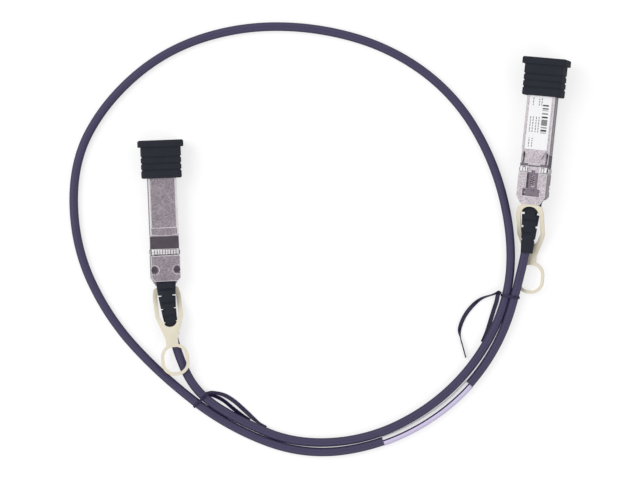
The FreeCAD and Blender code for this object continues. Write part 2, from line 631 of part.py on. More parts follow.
def bottom_shell(seat):
    """The base: ledges for the board, the strap's tunnel, the slider's channel and the locking boss."""
    body = doc.addObject("PartDesign::Body", "bottom_shell")
    nose = rectangle(across("nose_width"), ("head_length - 1", "nose_end"))
    pad(body, draw(body, "nose", "XY", "0", [nose]), "nose_height / 2", flip=True)
    bevel_at_rear = "(head_width - tongue_width) / 2 * tongue_length / tongue_bevel"
    head = mirrored([(f"tongue_width / 2 + {bevel_at_rear}", "0"),
                     ("head_width / 2", "tongue_bevel - tongue_length"), ("head_width / 2", "head_length")])
    pad(body, draw(body, "head", "XY", "0", [head]), "head_height / 2", flip=True)
    tongue = mirrored([("tongue_width / 2", "-tongue_length"), (f"tongue_width / 2 + {bevel_at_rear}", "0"),
                       (f"tongue_width / 2 + {bevel_at_rear}", "1")])
    pad(body, draw(body, "tongue", "XY", "-head_height / 2", [tongue]), "head_height / 2 - slider_depth")

    sides = [rectangle((f"{sign}(nose_width / 2 - collar_seat)", f"{sign}(nose_width / 2 + 1)"),
                       ("head_length", "collar_end")) for sign in ("", "-")]
    pocket(body, draw(body, "collar_sides", "XY", "0", sides), "nose_height / 2 + 0.1")
    under = rectangle(across("nose_width + 2"), ("head_length", "latch_finger_end"))
    pocket(body, draw(body, "collar_under", "XY", "-nose_height / 2", [under]), "collar_seat", flip=True)
    around_boss = rectangle(across("nose_width + 2"), ("latch_finger_end + 0.4", "boss_front"))
    pocket(body, draw(body, "boss_pocket", "XY", "-nose_height / 2", [around_boss]), "pocket_depth", flip=True)

    hollows = (
        ("hollow", "nose_width - 2 * wall", "head_length + 0.9", "nose_end - mouth_wall", "board_sheet / 2"),
        ("under_board", "nose_width - 4 * wall", "board_rear", "nose_end - mouth_wall",
         "slider_depth - roof + 0.25"),
        ("mouth", "card_slot_width", "nose_end - mouth_wall - 1", "nose_end + 1", "slider_depth - roof"),
        ("ferrule_bed", "ferrule_diameter + 4 * fit_gap + 1", "end_wall + anchor_length + 2 * fit_gap",
         "head_length + 1", "ferrule_diameter / 2 - cable_level + fit_gap"),
        ("pair_space", "2 * pair_spread + pair_width + 1", "screw_along + screw_head", "head_length + 1",
         "board_sheet / 2 + 0.7"),
        ("anchor_slot", "anchor_width + 2 * fit_gap", "end_wall", "end_wall + anchor_length + 2 * fit_gap + 0.1",
         "anchor_height / 2 - cable_level + fit_gap"),
        ("neck_slot", "neck_in_wall + 2 * fit_gap", "-0.01", "end_wall + 0.1",
         "anchor_height / 2 - cable_level + fit_gap"),
    )
    for name, width, rear, front, depth in hollows:
        outline = rectangle(across(width), (rear, front))
        pocket(body, draw(body, name, "XY", "0", [outline]), depth)

    outer, inner = "-head_height / 2", "-slider_depth + fit_gap"
    strap_outer = "-strap_level - tab_sheet / 2 - fit_gap"
    arm = "fork_width / 2"
    tools = [
        block("window", across("window_width"), ("window_start", "window_end"), (f"{outer} - 1", "-strap_level")),
        block("tunnel", across("strap_width + 2 * fit_gap"), ("-tongue_length - 1", "strap_front + fit_gap"),
              (strap_outer, inner)),
        block("yoke_pocket", across("slider_yoke + 2 * fit_gap"),
              ("slider_rear - travel - fit_gap", "window_end"), (strap_outer, inner)),
        block("channel", across("slider_width + 4 * fit_gap"), ("window_end - 0.1", "bridge_start"),
              (f"{outer} - 1", inner)),
        block("under_bridge", across("slider_width + 4 * fit_gap"), ("bridge_start - 1", "fork_start"),
              ("-slider_depth - slider_sheet - fit_gap", inner)),
        block("slot_front", across("slider_width + 4 * fit_gap"), ("bridge_end", "fork_start + 0.1"),
              ("-nose_height / 2 - 1", inner)),
        block("spring_groove", across("spring_coil + spring_wire + 2 * fit_gap"),
              ("spring_rear", "spring_front + travel"), (f"{outer} - 1", "-spring_level + spring_coil / 2 + 0.3")),
        block("crossbar_pocket", across("fork_width + 2 * fit_gap"),
              ("fork_start - travel - fit_gap", "fork_start + fork_bar + fit_gap"),
              ("-slider_depth - slider_sheet - fit_gap", inner)),
    ]
    for sign in ("", "-"):
        limits = (f"{sign}({arm} - slider_sheet - fit_gap)", f"{sign}({arm} + fit_gap)")
        limits = limits if not sign else limits[::-1]
        tools.append(block("arm_slot", limits, ("fork_start - travel - fit_gap", "fork_end + 3 * fit_gap"),
                           ("-nose_height / 2 - 1", inner)))
        middle = {"x": f"{sign}screw_across", "y": "screw_along"}
        tools.append(rod("tapped_hole", "screw_thread / 2 + 0.01", Z_AXIS, f"{outer} + 0.5", "head_height", **middle))
        tools.append(rod("dimple", "dimple / 2", Z_AXIS, f"{outer} - 1", "1.25", **middle))
    channelled = cut("channelled", body, *tools)

    boss = [("boss_rear_width / 2", "boss_rear"), ("boss_front_width / 2", "boss_front")]
    plan = extrude("boss_plan", draw(doc, "boss_outline", "XY", "-head_height / 2 - 1", [mirrored(boss)]),
                   "head_height / 2")
    wedge = [("boss_rear", "-nose_height / 2 - boss_rise"), ("boss_rear + 1.2", "-nose_height / 2 - boss_rise"),
             ("boss_front", "-nose_height / 2"), ("boss_front", "-slider_depth - slider_sheet / 2"),
             ("boss_rear", "-slider_depth - slider_sheet / 2")]
    side = extrude("boss_side", draw(doc, "boss_profile", "YZ", "-head_width / 2", [wedge]), "head_width")
    shell = fuse("with_boss", broken_edges("base_edges", channelled), common("boss", plan, side))
    return finish(seat, "bottom_shell", shell)


# ---- what the shells hold ----

def circuit_board(seat):
    """The board, narrowed to an edge connector with bevelled corners."""
    body = doc.addObject("PartDesign::Body", "circuit_board")
    outline = mirrored([
        ("board_width / 2", "board_rear"), ("board_width / 2", "paddle_start - 0.7"),
        ("paddle_width / 2", "paddle_start"), ("paddle_width / 2", "paddle_end - 0.5"),
        ("paddle_width / 2 - 0.5", "paddle_end")])
    pad(body, draw(body, "board", "XY", "-board_sheet / 2", [outline]), "board_sheet")
    return finish(seat, "circuit_board", body)


def edge_contacts(seat):
    """Gold pads in two rows, one on each face of the board."""
    pads = []
    for number in range(int(sheet.pad_count)):
        middle = f"(({number} - (pad_count - 1) / 2) * pad_pitch)"
        limits = (f"{middle} - pad_width / 2", f"{middle} + pad_width / 2")
        for low, high in (("board_sheet / 2", "board_sheet / 2 + plating"),
                          ("-board_sheet / 2 - plating", "-board_sheet / 2")):
            pads.append(block("pad", limits, ("paddle_end - 0.4 - pad_length", "paddle_end - 0.4"), (low, high)))
    return finish(seat, "edge_contacts", group("contacts", *pads))


def memory_chip(seat):
    """An eight-lead chip that stores what the cable is."""
    front = "chip_rear + chip_length"
    level = "board_sheet / 2"
    pieces = [block("chip_body", across("chip_width"), ("chip_rear", front),
                    (f"{level} + 0.15", f"{level} + chip_height"))]
    for number in range(4):
        middle = f"(chip_rear + chip_length / 2 + ({number} - 1.5) * 1.27)"
        pieces.append(block("leads", across("chip_width + 2"), (f"{middle} - 0.2", f"{middle} + 0.2"),
                            (level, f"{level} + 0.2")))
    return finish(seat, "memory_chip", fuse("chip", *pieces))


def crimp_ferrule(seat):
    """The sleeve that grips the cable's braid between the shells."""
    start = "jacket_start + fit_gap"
    sleeve = rod("ferrule_sleeve", "ferrule_diameter / 2", Y_AXIS, start, "ferrule_length", z="cable_level")
    bore = rod("ferrule_bore", "ferrule_bore / 2", Y_AXIS, f"{start} - 1", "ferrule_length + 2", z="cable_level")
    return finish(seat, "crimp_ferrule", cut("ferrule", sleeve, bore))


def signal_pairs(seat):
    """Two shielded pairs that leave the ferrule and part to the board's two sides."""
    ferrule_end = "jacket_start + fit_gap + ferrule_length"
    pairs = []
    for sign, level in ((1, 0.62), (-1, -0.62)):
        stations = (
            (0.0, sheet.cable_level + level, sheet.jacket_start + sheet.ferrule_length + 0.3),
            (sign * sheet.pair_spread, (sheet.board_sheet + sheet.pair_height) / 2 + 0.05, sheet.board_rear),
            (sign * sheet.pair_spread, (sheet.board_sheet + sheet.pair_height) / 2 + 0.05, sheet.pair_end),
        )
        sections = []
        for x, z, y in stations:
            section = rounded("pair_section", "pair_width", "pair_height", "pair_height / 2 - 0.05")
            section.Placement = Placement(Vector(x, y, z), Rotation(X_AXIS, 90))
            sections.append(section)
        doc.recompute()
        pair = doc.addObject("Part::Loft", "pair")
        pair.Sections = sections
        pair.Solid = True
        pair.Ruled = True
        pairs.append(pair)
    return finish(seat, "signal_pairs", group("pairs", *pairs))


# ---- spring collar ----

def emi_gasket(seat):
    """A sheet-metal collar whose rows of arched fingers touch the cage."""
    half_width, half_height = "(nose_width / 2 - collar_seat + collar_sheet)", "(nose_height / 2 - collar_seat + collar_sheet)"
    rear, front = "head_length + fit_gap", "collar_end - 2 * fit_gap"
    outer = block("collar_outer", (f"-{half_width}", half_width), (rear, front), (f"-{half_height}", half_height))
    inside = [
        block("collar_inner", (f"-({half_width} - collar_sheet)", f"{half_width} - collar_sheet"),
              (f"{rear} - 1", f"{front} + 1"),
              (f"-({half_height} - collar_sheet)", f"{half_height} - collar_sheet")),
        block("latch_opening", across("slider_width + 1"), (f"{rear} - 1", f"{front} + 1"),
              ("-nose_height", "0")),
        block("latch_front", (f"-{half_width} - 1", f"{half_width} + 1"), ("latch_finger_end", f"{front} + 1"),
              ("-nose_height", "-nose_height / 2 + pocket_depth + fit_gap")),
    ]
    sheet_collar = cut("collar_sheet", outer, *inside)

    arch_rear, arch_front = f"({rear} + 0.1)", f"({rear} + finger_length)"
    arch = [(arch_rear, "0"), (f"{arch_rear} + 0.6", "finger_rise"), (f"{arch_front} - 0.9", "finger_rise"),
            (arch_front, "0"), (f"{arch_front} - 0.3", "0"), (f"{arch_front} - 1", "finger_rise - collar_sheet"),
            (f"{arch_rear} + 0.7", "finger_rise - collar_sheet"), (f"{arch_rear} + 0.3", "0")]
    rows = []
    for turn, width, level in (
            (0, sheet.nose_width - 0.6, sheet.nose_height / 2 - sheet.collar_seat + sheet.collar_sheet),
            (90, sheet.nose_height - 0.9, sheet.nose_width / 2 - sheet.collar_seat + sheet.collar_sheet),
            (-90, sheet.nose_height - 0.9, sheet.nose_width / 2 - sheet.collar_seat + sheet.collar_sheet),
            (180, sheet.nose_width - 0.6, sheet.nose_height / 2 - sheet.collar_seat + sheet.collar_sheet)):
        row = extrude("finger_row", draw(doc, "finger_arch", "YZ", "0", [arch]), str(width))
        row.Symmetric = True
        slits = []
        count = int(width / sheet.finger_pitch)
        for number in range(1, count):
            middle = f"({number} - {count} / 2) * finger_pitch"
            slits.append(block("slit", (f"{middle} - finger_gap / 2", f"{middle} + finger_gap / 2"),
                               (f"{rear} - 1", "collar_end"), ("0.01", "finger_rise + 1")))
        if turn == 180:
            slits.append(block("slit_over_slider", across("slider_width + 1"), (f"{rear} - 1", "collar_end"),
                               ("-1", "finger_rise + 1")))
        slit_row = cut("slit_row", row, *slits)
        lift = Rotation(Y_AXIS, turn)
        slit_row.Placement = Placement(lift.multVec(Vector(0, 0, level)), lift)
        rows.append(slit_row)
    return finish(seat, "emi_gasket", fuse("collar", sheet_collar, *rows))


# ---- latch ----

def latch_slider(seat):
    """A stamped slider: rear yoke, bar with a window for its spring, and a fork with raised tips."""
    body = doc.addObject("PartDesign::Body", "latch_slider")
    outline = mirrored([
        ("slider_yoke / 2", "slider_rear"), ("slider_yoke / 2", "window_end - 0.8"),
        ("slider_width / 2", "window_end - 0.2"), ("slider_width / 2", "fork_start"),
        ("fork_width / 2", "fork_start"), ("fork_width / 2", "fork_start + fork_bar")])
    level = "-slider_depth - slider_sheet"
    pad(body, draw(body, "plate", "XY", level, [outline]), "slider_sheet")
    arms = []
    for sign in ("", "-"):
        arms.append(rectangle((f"{sign}(fork_width / 2 - slider_sheet)", f"{sign}fork_width / 2"),
                              ("fork_start", "fork_end")))
    pad(body, draw(body, "arms", "XY", "-slider_depth", arms), "arm_rise - slider_depth", flip=True)
    tips = [[(x, y) for x, y in rectangle((f"{sign}(fork_width / 2 - slider_sheet)", f"{sign}fork_width / 2"),
                                          ("fork_end - tip_length", "fork_end"))] for sign in ("", "-")]
    pad(body, draw(body, "tips", "XY", "-slider_depth", tips), "tip_rise - slider_depth", flip=True)
    ears = [rectangle((f"{sign}(ear_span / 2 - slider_sheet)", f"{sign}ear_span / 2"),
                      ("slider_rear + 0.3", "slider_rear + 0.3 + ear_length")) for sign in ("", "-")]
    pad(body, draw(body, "ears", "XY", level, ears), "tab_sheet + 0.15", flip=True)
    hook = rectangle(across("hook_width"), ("hook_along", "hook_along + slider_sheet"))
    pad(body, draw(body, "hook", "XY", level, [hook]), "hook_rise - slider_depth - slider_sheet", flip=True)
    notches = [rectangle((f"{sign}(slider_yoke / 2 - notch_size)", f"{sign}(slider_yoke / 2 + 1)"),
                         ("notch_along - notch_size / 2", "notch_along + notch_size / 2")) for sign in ("", "-")]
    pocket(body, draw(body, "notches", "XY", "-slider_depth", notches), "slider_sheet + 0.1")
    spring_window = rectangle(across("spring_coil + spring_wire + 4 * fit_gap"),
                              ("spring_rear - 0.6", "spring_front + fit_gap"))
    pocket(body, draw(body, "spring_window", "XY", "-slider_depth", [spring_window]), "slider_sheet + 0.1")
    ramps = soften("ramped", body, sheet.tip_rise - sheet.arm_rise - 0.05,
                   along(X_AXIS, (1, sheet.fork_end - 0.01, sheet.fork_end + 0.01),
                         (2, -sheet.tip_rise - 0.01, -sheet.tip_rise + 0.01)), "Part::Chamfer")
    return finish(seat, "latch_slider", ramps)


def return_spring(seat):
    """A coil spring in the slider's window that pushes the slider back."""
    length = sheet.spring_front - sheet.spring_rear - sheet.spring_wire
    steps = int(sheet.spring_turns * 12)
    middle = Vector(0, sheet.spring_rear + sheet.spring_wire / 2, -sheet.spring_level)
    points = []
    for step in range(steps + 1):
        angle = math.tau * step / 12
        around = Vector(math.cos(angle), 0, math.sin(angle)) * (sheet.spring_coil / 2)
        points.append(middle + around + Y_AXIS * (length * step / steps))
    direction = points[1] - points[0]
    facing = Rotation(Z_AXIS, direction)
    corners = [points[0] + facing.multVec(Vector(math.cos(a), math.sin(a), 0)) * (sheet.spring_wire / 2)
               for a in (math.tau * side / 5 for side in range(6))]
    spring = doc.addObject("Part::Feature", "return_spring")
    spring.Shape = Part.Wire(Part.makePolygon(points)).makePipeShell([Part.makePolygon(corners)], True, True, 1)
    return finish(seat, "return_spring", spring)


def pull_tab(seat):
    """A moulded strap: a long loop round the boot, a neck and a finger ring."""
    near, far = seat.tab_levels
    strap = -sheet.strap_level
    stations = [(sheet.strap_front, strap), (-sheet.opening_start - 1.9, strap),
                (-sheet.opening_end + 2.6, near), (-sheet.loop_end - 1, near),
                (-sheet.ring_start - 2.2, far), (-sheet.ring_start - sheet.ring_length - 2, far)]
    if near == far:
        del stations[3:5]
    radii = [8.0] * (len(stations) - 2)
    side = bent_strip("tab_side", stations, radii, sheet.tab_sheet, 30.0)

    start = "-tongue_length - 0.4"
    long_loop = mirrored([("strap_width / 2", start), ("loop_root / 2", "-opening_start"),
                          ("loop_width / 2", "-loop_shoulder"), ("loop_width / 2", "-loop_taper"),
                          ("neck_width / 2", "-loop_end"), ("neck_width / 2", "-ring_start - ring_strap / 2")][::-1])
    opening = mirrored([("loop_opening / 3.2", "-opening_start"), ("loop_opening / 2", "-loop_shoulder - 0.4"),
                        ("loop_opening / 2", "-loop_taper + 0.4"), ("loop_opening / 4.4", "-opening_end")][::-1])
    loop = extrude("loop_plan", draw(doc, "loop_outline", "XY", "-20", [long_loop]), "40")
    upright = lambda low, high: along(Z_AXIS, (1, low, high))
    loop = soften("loop_rounded", loop, 4.5, upright(-sheet.loop_taper - 1, -sheet.opening_start - 1))
    loop = soften("loop_root_rounded", loop, 1.2, upright(-sheet.opening_start - 0.1, -sheet.opening_start + 0.1))
    loop = soften("loop_hollows", loop, 2.5, upright(-sheet.loop_end - 0.5, -sheet.loop_end + 0.5))
    hole = extrude("opening_plan", draw(doc, "opening_outline", "XY", "-21", [opening]), "42")
    hole = soften("opening_arched", hole, 4.0, upright(-sheet.loop_shoulder - 1, 0))
    hole = soften("opening_rounded", hole, 3.0, upright(-sheet.opening_end - 1, -sheet.loop_shoulder - 1))
    ring_middle = -sheet.ring_start - sheet.ring_length / 2
    middle = Placement(Vector(seat.ring_shift, ring_middle, -20), Rotation())
    ring = extrude("ring_plan", rounded("ring_outline", "ring_width", "ring_length", "ring_width / 2 - 0.4"),
                   "40", middle)
    finger = extrude("finger_plan", rounded("finger_outline", "ring_width - 2 * ring_strap",
                                            "ring_length - 2 * ring_strap",
                                            "ring_width / 2 - ring_strap - 0.5"), "40", middle)
    plan = cut("tab_rear_plan", fuse("loops", loop, ring), hole, finger)
    lean = Rotation(Z_AXIS, seat.tab_lean)
    pivot = Vector(0, -sheet.tongue_length, 0)
    plan.Placement = Placement(pivot - lean.multVec(pivot), lean)
    root = block("root_plan", across("strap_width"), ("-tongue_length - 0.8", "strap_front"), ("-20", "20"))
    tab = common("tab_band", side, fuse("tab_plan", plan, root))
    slots = [block("ear_slot", limits,
                   ("slider_rear + 0.3 - fit_gap / 2", "slider_rear + 0.3 + ear_length + fit_gap / 2"),
                   ("-strap_level - tab_sheet", "-strap_level + tab_sheet")) for limits in (
        ("ear_span / 2 - slider_sheet - fit_gap / 2", "ear_span / 2 + fit_gap / 2"),
        ("-ear_span / 2 - fit_gap / 2", "-ear_span / 2 + slider_sheet + fit_gap / 2"))]
    return finish(seat, "pull_tab", cut("tab", tab, *slots))


# ---- cable end ----

def station(seat, distance):
    """Where the boot's middle line is, a distance behind the head, and how it points."""
    bend_x, bend_z = (bend / sheet.boot_length for bend in seat.boot_bend)
    middle = Vector(bend_x * distance ** 2 / 2, -distance, sheet.cable_level + bend_z * distance ** 2 / 2)
    pointing = Rotation(Vector(0, -1, 0), Vector(bend_x * distance, -1, bend_z * distance))
    return Placement(middle, pointing)


def between(rows, distance):
    """The row at a distance, worked out between its two neighbours."""
    for low, high in zip(rows, rows[1:]):
        if low[0] <= distance <= high[0]:
            share = (distance - low[0]) / (high[0] - low[0])
            return [a + (b - a) * share for a, b in zip(low, high)]
    raise ValueError(distance)


def strain_relief_boot(seat, bore):
    """A slotted moulded boot that bends with the cable, anchored inside the head."""
    facing = Rotation(X_AXIS, 90)
    length = sheet.boot_length
    outline = ((0.0, sheet.boot_width, sheet.boot_height, 2.2),
               (sheet.boot_collar, sheet.boot_width - 0.3, sheet.boot_height - 0.1, 2.2),
               (length / 2, sheet.boot_waist_width, sheet.boot_waist_height, 2.0),
               (length, sheet.boot_end_width, sheet.boot_end_height, 2.0))
    sections = []
    for distance in (0.0, sheet.boot_collar, 0.3 * length, length / 2, 0.67 * length, 0.83 * length, length):
        section = rounded("boot_section", *(str(size) for size in between(outline, distance)[1:]))
        place = station(seat, distance)
        section.Placement = Placement(place.Base, place.Rotation.multiply(facing))
        sections.append(section)
    doc.recompute()
    body = doc.addObject("Part::Loft", "boot_body")
    body.Sections = sections
    body.Solid = True
    body.Ruled = True
    slots = []
    reach = 12.0
    for number in range(6):
        distance = sheet.first_slot + number * sheet.slot_pitch
        place = station(seat, distance)
        half_gap, core = sheet.slot_gap / 2, sheet.slot_core / 2
        half_width = sheet.boot_width / 2 - 0.068 * distance
        for sign in (1, -1):
            slot = doc.addObject("Part::Box", "slot")
            if number % 2:
                size, corner = (reach, 2 * half_gap, 2 * reach), (core if sign > 0 else -core - reach, -reach)
            else:
                flank = half_width - sheet.slot_web
                size, corner = (2 * flank, 2 * half_gap, reach), (-flank, core if sign > 0 else -core - reach)
            slot.Length, slot.Width, slot.Height = size
            slot.Placement = place.multiply(Placement(Vector(corner[0], -half_gap, corner[1]), Rotation()))
            slots.append(slot)
    slotted = cut("boot_slotted", body, *slots)
    levels = ("cable_level - anchor_height / 2", "cable_level + anchor_height / 2")
    neck = block("boot_neck", across("neck_in_wall"), ("-0.5", "end_wall + 0.2"), levels)
    anchor = block("boot_anchor", across("anchor_width"),
                   ("end_wall + fit_gap", "end_wall + fit_gap + anchor_length"), levels)
    whole = fuse("boot_whole", slotted, neck, anchor)
    return finish(seat, "strain_relief_boot", cut("boot", whole, bore))


def cover_screws(seat):
    """Two cross-head machine screws in the cover's wells."""
    screws = []
    for sign in ("", "-"):
        seat_level = "(head_height / 2 - screw_well_depth)"
        middle = {"x": f"{sign}screw_across", "y": "screw_along"}
        head = rod("screw_head", "screw_head / 2", Z_AXIS, seat_level, "screw_head_height", **middle)
        shank = rod("screw_shank", "screw_thread / 2", Z_AXIS, f"{seat_level} - screw_length",
                    "screw_length + 0.1", **middle)
        drive = [block("drive", (f"{sign}screw_across - {a}", f"{sign}screw_across + {a}"),
                       (f"screw_along - {b}", f"screw_along + {b}"),
                       (f"{seat_level} + screw_head_height / 2", f"{seat_level} + 2"))
                 for a, b in (("drive_size / 2", "1"), ("1", "drive_size / 2"))]
        screws.append(cut("screw", fuse("screw_blank", head, shank), *drive))
    return finish(seat, "cover_screws", group("screws", *screws))


def type_label(seat):
    """A plain label on the latch face."""
    body = doc.addObject("PartDesign::Body", "type_label")
    outline = rectangle(across("label_width"), ("boss_front + 0.1", "label_end"))
    pad(body, draw(body, "label", "XY", "-nose_height / 2 - label_sheet", [outline]), "label_sheet")
    return finish(seat, "type_label", body)


def dust_cap(seat):
    """A moulded cap with a flange and grip grooves round it."""
    def slab(name, width, height, radius, rear, length):
        profile = rounded(f"{name}_outline", width, height, radius)
        doc.recompute()
        return extrude(name, profile, length, Placement(Vector(0, rear, 0), Rotation(X_AXIS, 90)))
    closed = sheet.cap_mouth + sheet.cap_length
    body = slab("cap_body", "cap_width", "cap_height", "cap_corner", closed, "cap_length")
    flange = slab("cap_flange", "flange_width", "flange_height", "cap_corner + 0.2", closed, "flange_length")
    hollow = slab("cap_hollow", "nose_width + 2 * cap_gap", "nose_height + 2 * cap_gap", "0.3",
                  closed - sheet.cap_end_wall, "cap_length")
    grooves = []
    for number in range(int(sheet.groove_count)):
        front = closed - sheet.groove_first - number * sheet.groove_pitch + sheet.groove_width / 2
        outer = slab("groove_outer", "cap_width + 2", "cap_height + 2", "cap_corner", front, "groove_width")
        inner = slab("groove_inner", "cap_width - 2 * groove_depth", "cap_height - 2 * groove_depth",
                     "cap_corner - 0.1", front + 1, "groove_width + 2")
        grooves.append(cut("groove", outer, inner))
    blank = fuse("cap_blank", body, flange)
    rim = soften("cap_rim", blank, 0.5, lambda edge: edge.BoundBox.YLength < 0.01
                 and (edge.BoundBox.YMin > closed - 0.01 or edge.BoundBox.YMax < sheet.cap_mouth + 0.01),
                 "Part::Chamfer")
    return finish(seat, "dust_cap", cut("cap", rim, hollow, *grooves))


# ---- cable, wrap label and ties ----

def cable_jacket(edges):
    """The round cable along its whole route."""
    for number, edge in enumerate(edges[1::2], start=1):
        print(f"radius at point {number}: {edge.Curve.Radius:.0f} mm")
    jacket = tube("cable_jacket", edges, sheet.cable_diameter, int(sheet.cable_sides))
    length = sum(edge.Length for edge in edges)
    section = math.pi * sheet.cable_diameter ** 2 / 4
    print(f"cable {length:.1f} mm, volume over section times length {jacket.Shape.Volume / (section * length):.4f}")
    return jacket


def wrap_label(edges):
    """A label wound round the cable."""
    edges = stretch(edges, sheet.wrap_start, sheet.wrap_start + sheet.wrap_length)
    sides = int(sheet.cable_sides)
    bore = tube("wrap_bore", edges, sheet.cable_diameter / math.cos(math.pi / sides), sides)
    return cut("wrap_label", tube("wrap_outer", edges, sheet.wrap_diameter, sides), bore)


def twist_tie(name, edges, distances, knot_side, tails):
    """A band round two strands, its twisted ends and two loose tails."""
    (first, along_first), (second, along_second) = (where(edges, distance) for distance in distances)
    middle = (first + second) * 0.5
    over = (second - first).normalize()
    forward = along_first + along_second
    forward -= over * forward.dot(over)
    facing = Rotation(over, forward, over.cross(forward), "XYZ")
    spacing = first.distanceToPoint(second)
    height = sheet.cable_diameter + 2 * (sheet.tie_gap + sheet.tie_sheet)
    flat = Placement(Vector(0, sheet.tie_width / 2, 0), Rotation(X_AXIS, 90))
    loops = []
    for grow in ("", " - 2 * tie_sheet"):
        outline = rounded(f"{name}_outline", f"{spacing} + {height}{grow}", f"{height}{grow}",
                          f"({height}{grow}) / 2 - 0.02")
        doc.recompute()
        loops.append(extrude(f"{name}_loop", outline, "tie_width", flat))
    band = cut(f"{name}_band", *loops)
    reach = spacing / 2 + height / 2
    twist = doc.addObject("Part::Box", f"{name}_twist")
    twist.Length, twist.Width, twist.Height = sheet.knot_length, sheet.knot_size, sheet.knot_size
    twist.Placement.Base = Vector(reach - 0.2 if knot_side > 0 else 0.2 - reach - sheet.knot_length,
                                  -sheet.knot_size / 2, -sheet.knot_size / 2)
    wound = fuse(f"{name}_wound", band, twist)
    wound.Placement = Placement(middle, facing)
    ribbons = [ribbon(f"{name}_tail", run_edges([(x, y, sheet.tail_level) for x, y in tail]),
                      sheet.tie_width, sheet.tie_sheet) for tail in tails]
    return fuse(name, wound, *ribbons)


def cable_end(seat):
    """The stretch of cable inside a plug's boot, in the plug's frame."""
    points = ROUTE[:4] if seat.side == "right" else ROUTE[:-5:-1]
    local = [seat.placement.inverse().multVec(Vector(*point)) for point in points]
    edges = run_edges([tuple(point) for point in local])
    return tube(f"{seat.side}_cable_bore", edges, sheet.cable_diameter)


def main():
    pieces = []
    for seat in SEATS:
        pieces += [
            top_shell(seat), bottom_shell(seat), circuit_board(seat), edge_contacts(seat), memory_chip(seat),
            crimp_ferrule(seat), signal_pairs(seat), emi_gasket(seat), latch_slider(seat), return_spring(seat),
            pull_tab(seat), strain_relief_boot(seat, cable_end(seat)), cover_screws(seat), dust_cap(seat),
        ]
    pieces.append(type_label(SEATS[1]))
    edges = run_edges(ROUTE)
    pieces += [cable_jacket(edges), wrap_label(edges)]
    pieces += [twist_tie(name, edges, *layout) for name, layout in TIES.items()]
    doc.recompute()
    export(pieces)


def export(pieces):
    """Checks every object and writes each piece to its own file."""
    for thing in doc.Objects:
        if {"Invalid", "Error"} & set(thing.State):
            raise RuntimeError(f"{thing.Label} failed: {thing.State}")
    os.makedirs("parts", exist_ok=True)
    for piece in pieces:
        shape = piece.Shape
        if shape.isNull() or not shape.isValid() or not shape.Solids:
            raise RuntimeError(f"{piece.Label} has no sound solid")
    for piece in pieces:
        piece.Shape.exportStep(f"parts/{piece.Label}.step")


main()
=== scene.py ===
"""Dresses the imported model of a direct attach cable: finishes, soft pieces, print, light and camera."""

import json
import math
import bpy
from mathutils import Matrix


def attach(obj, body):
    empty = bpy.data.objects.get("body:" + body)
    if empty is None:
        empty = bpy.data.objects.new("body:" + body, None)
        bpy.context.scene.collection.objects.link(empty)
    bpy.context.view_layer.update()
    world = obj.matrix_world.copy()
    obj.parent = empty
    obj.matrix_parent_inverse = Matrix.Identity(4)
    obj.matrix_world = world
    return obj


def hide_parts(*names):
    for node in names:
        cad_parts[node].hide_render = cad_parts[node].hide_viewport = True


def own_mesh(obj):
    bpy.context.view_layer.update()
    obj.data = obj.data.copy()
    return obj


bl_info = {
    "name": "Direct Attach Cable",
    "version": (1, 0, 0),
    "blender": (4, 5, 0),
    "location": "3D View > Sidebar > Cable",
    "description": "Finishes a direct attach cable on its packed frame and lights it on a pale floor",
    "category": "Object",
}

import bmesh
import bpy
from bpy.props import FloatProperty, FloatVectorProperty, IntProperty, PointerProperty
from mathutils import Matrix, Vector

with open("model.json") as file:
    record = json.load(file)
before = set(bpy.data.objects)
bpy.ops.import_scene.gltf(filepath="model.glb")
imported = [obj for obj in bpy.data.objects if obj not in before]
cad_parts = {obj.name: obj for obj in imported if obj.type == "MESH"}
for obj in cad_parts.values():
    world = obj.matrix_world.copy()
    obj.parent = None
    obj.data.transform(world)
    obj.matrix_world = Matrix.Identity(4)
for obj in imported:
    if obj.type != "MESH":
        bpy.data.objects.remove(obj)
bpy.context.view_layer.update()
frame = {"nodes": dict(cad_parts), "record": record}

MM = 0.001
SIDES = ("left", "right")
ASSEMBLY = "cable_assembly"

# How far each plug is rolled about its own length, in degrees.
PLUG_ROLLS = {"left": 8.0, "right": 162.5}

# On a node's own form, vertices this near are one, faces this flat are one, and steeper joints are edges.
WELD = 0.002 * MM
FLAT_ANGLE = math.radians(1.0)
EDGE_ANGLE = math.radians(32)

# Edges of the castings and of the collars that stay sharp in the light, and the bends of the collars' fingers.
CASTING_SHARP = math.radians(50)
COLLAR_SHARP = math.radians(25)
BEND_ANGLES = (math.radians(15), math.radians(60))
BEND_SEGMENTS = 3

# How much of a tie's thickness its rounded edges take, and the steepness of those edges.
TIE_ROUNDING = 0.4
TIE_EDGE_ANGLE = math.radians(40)

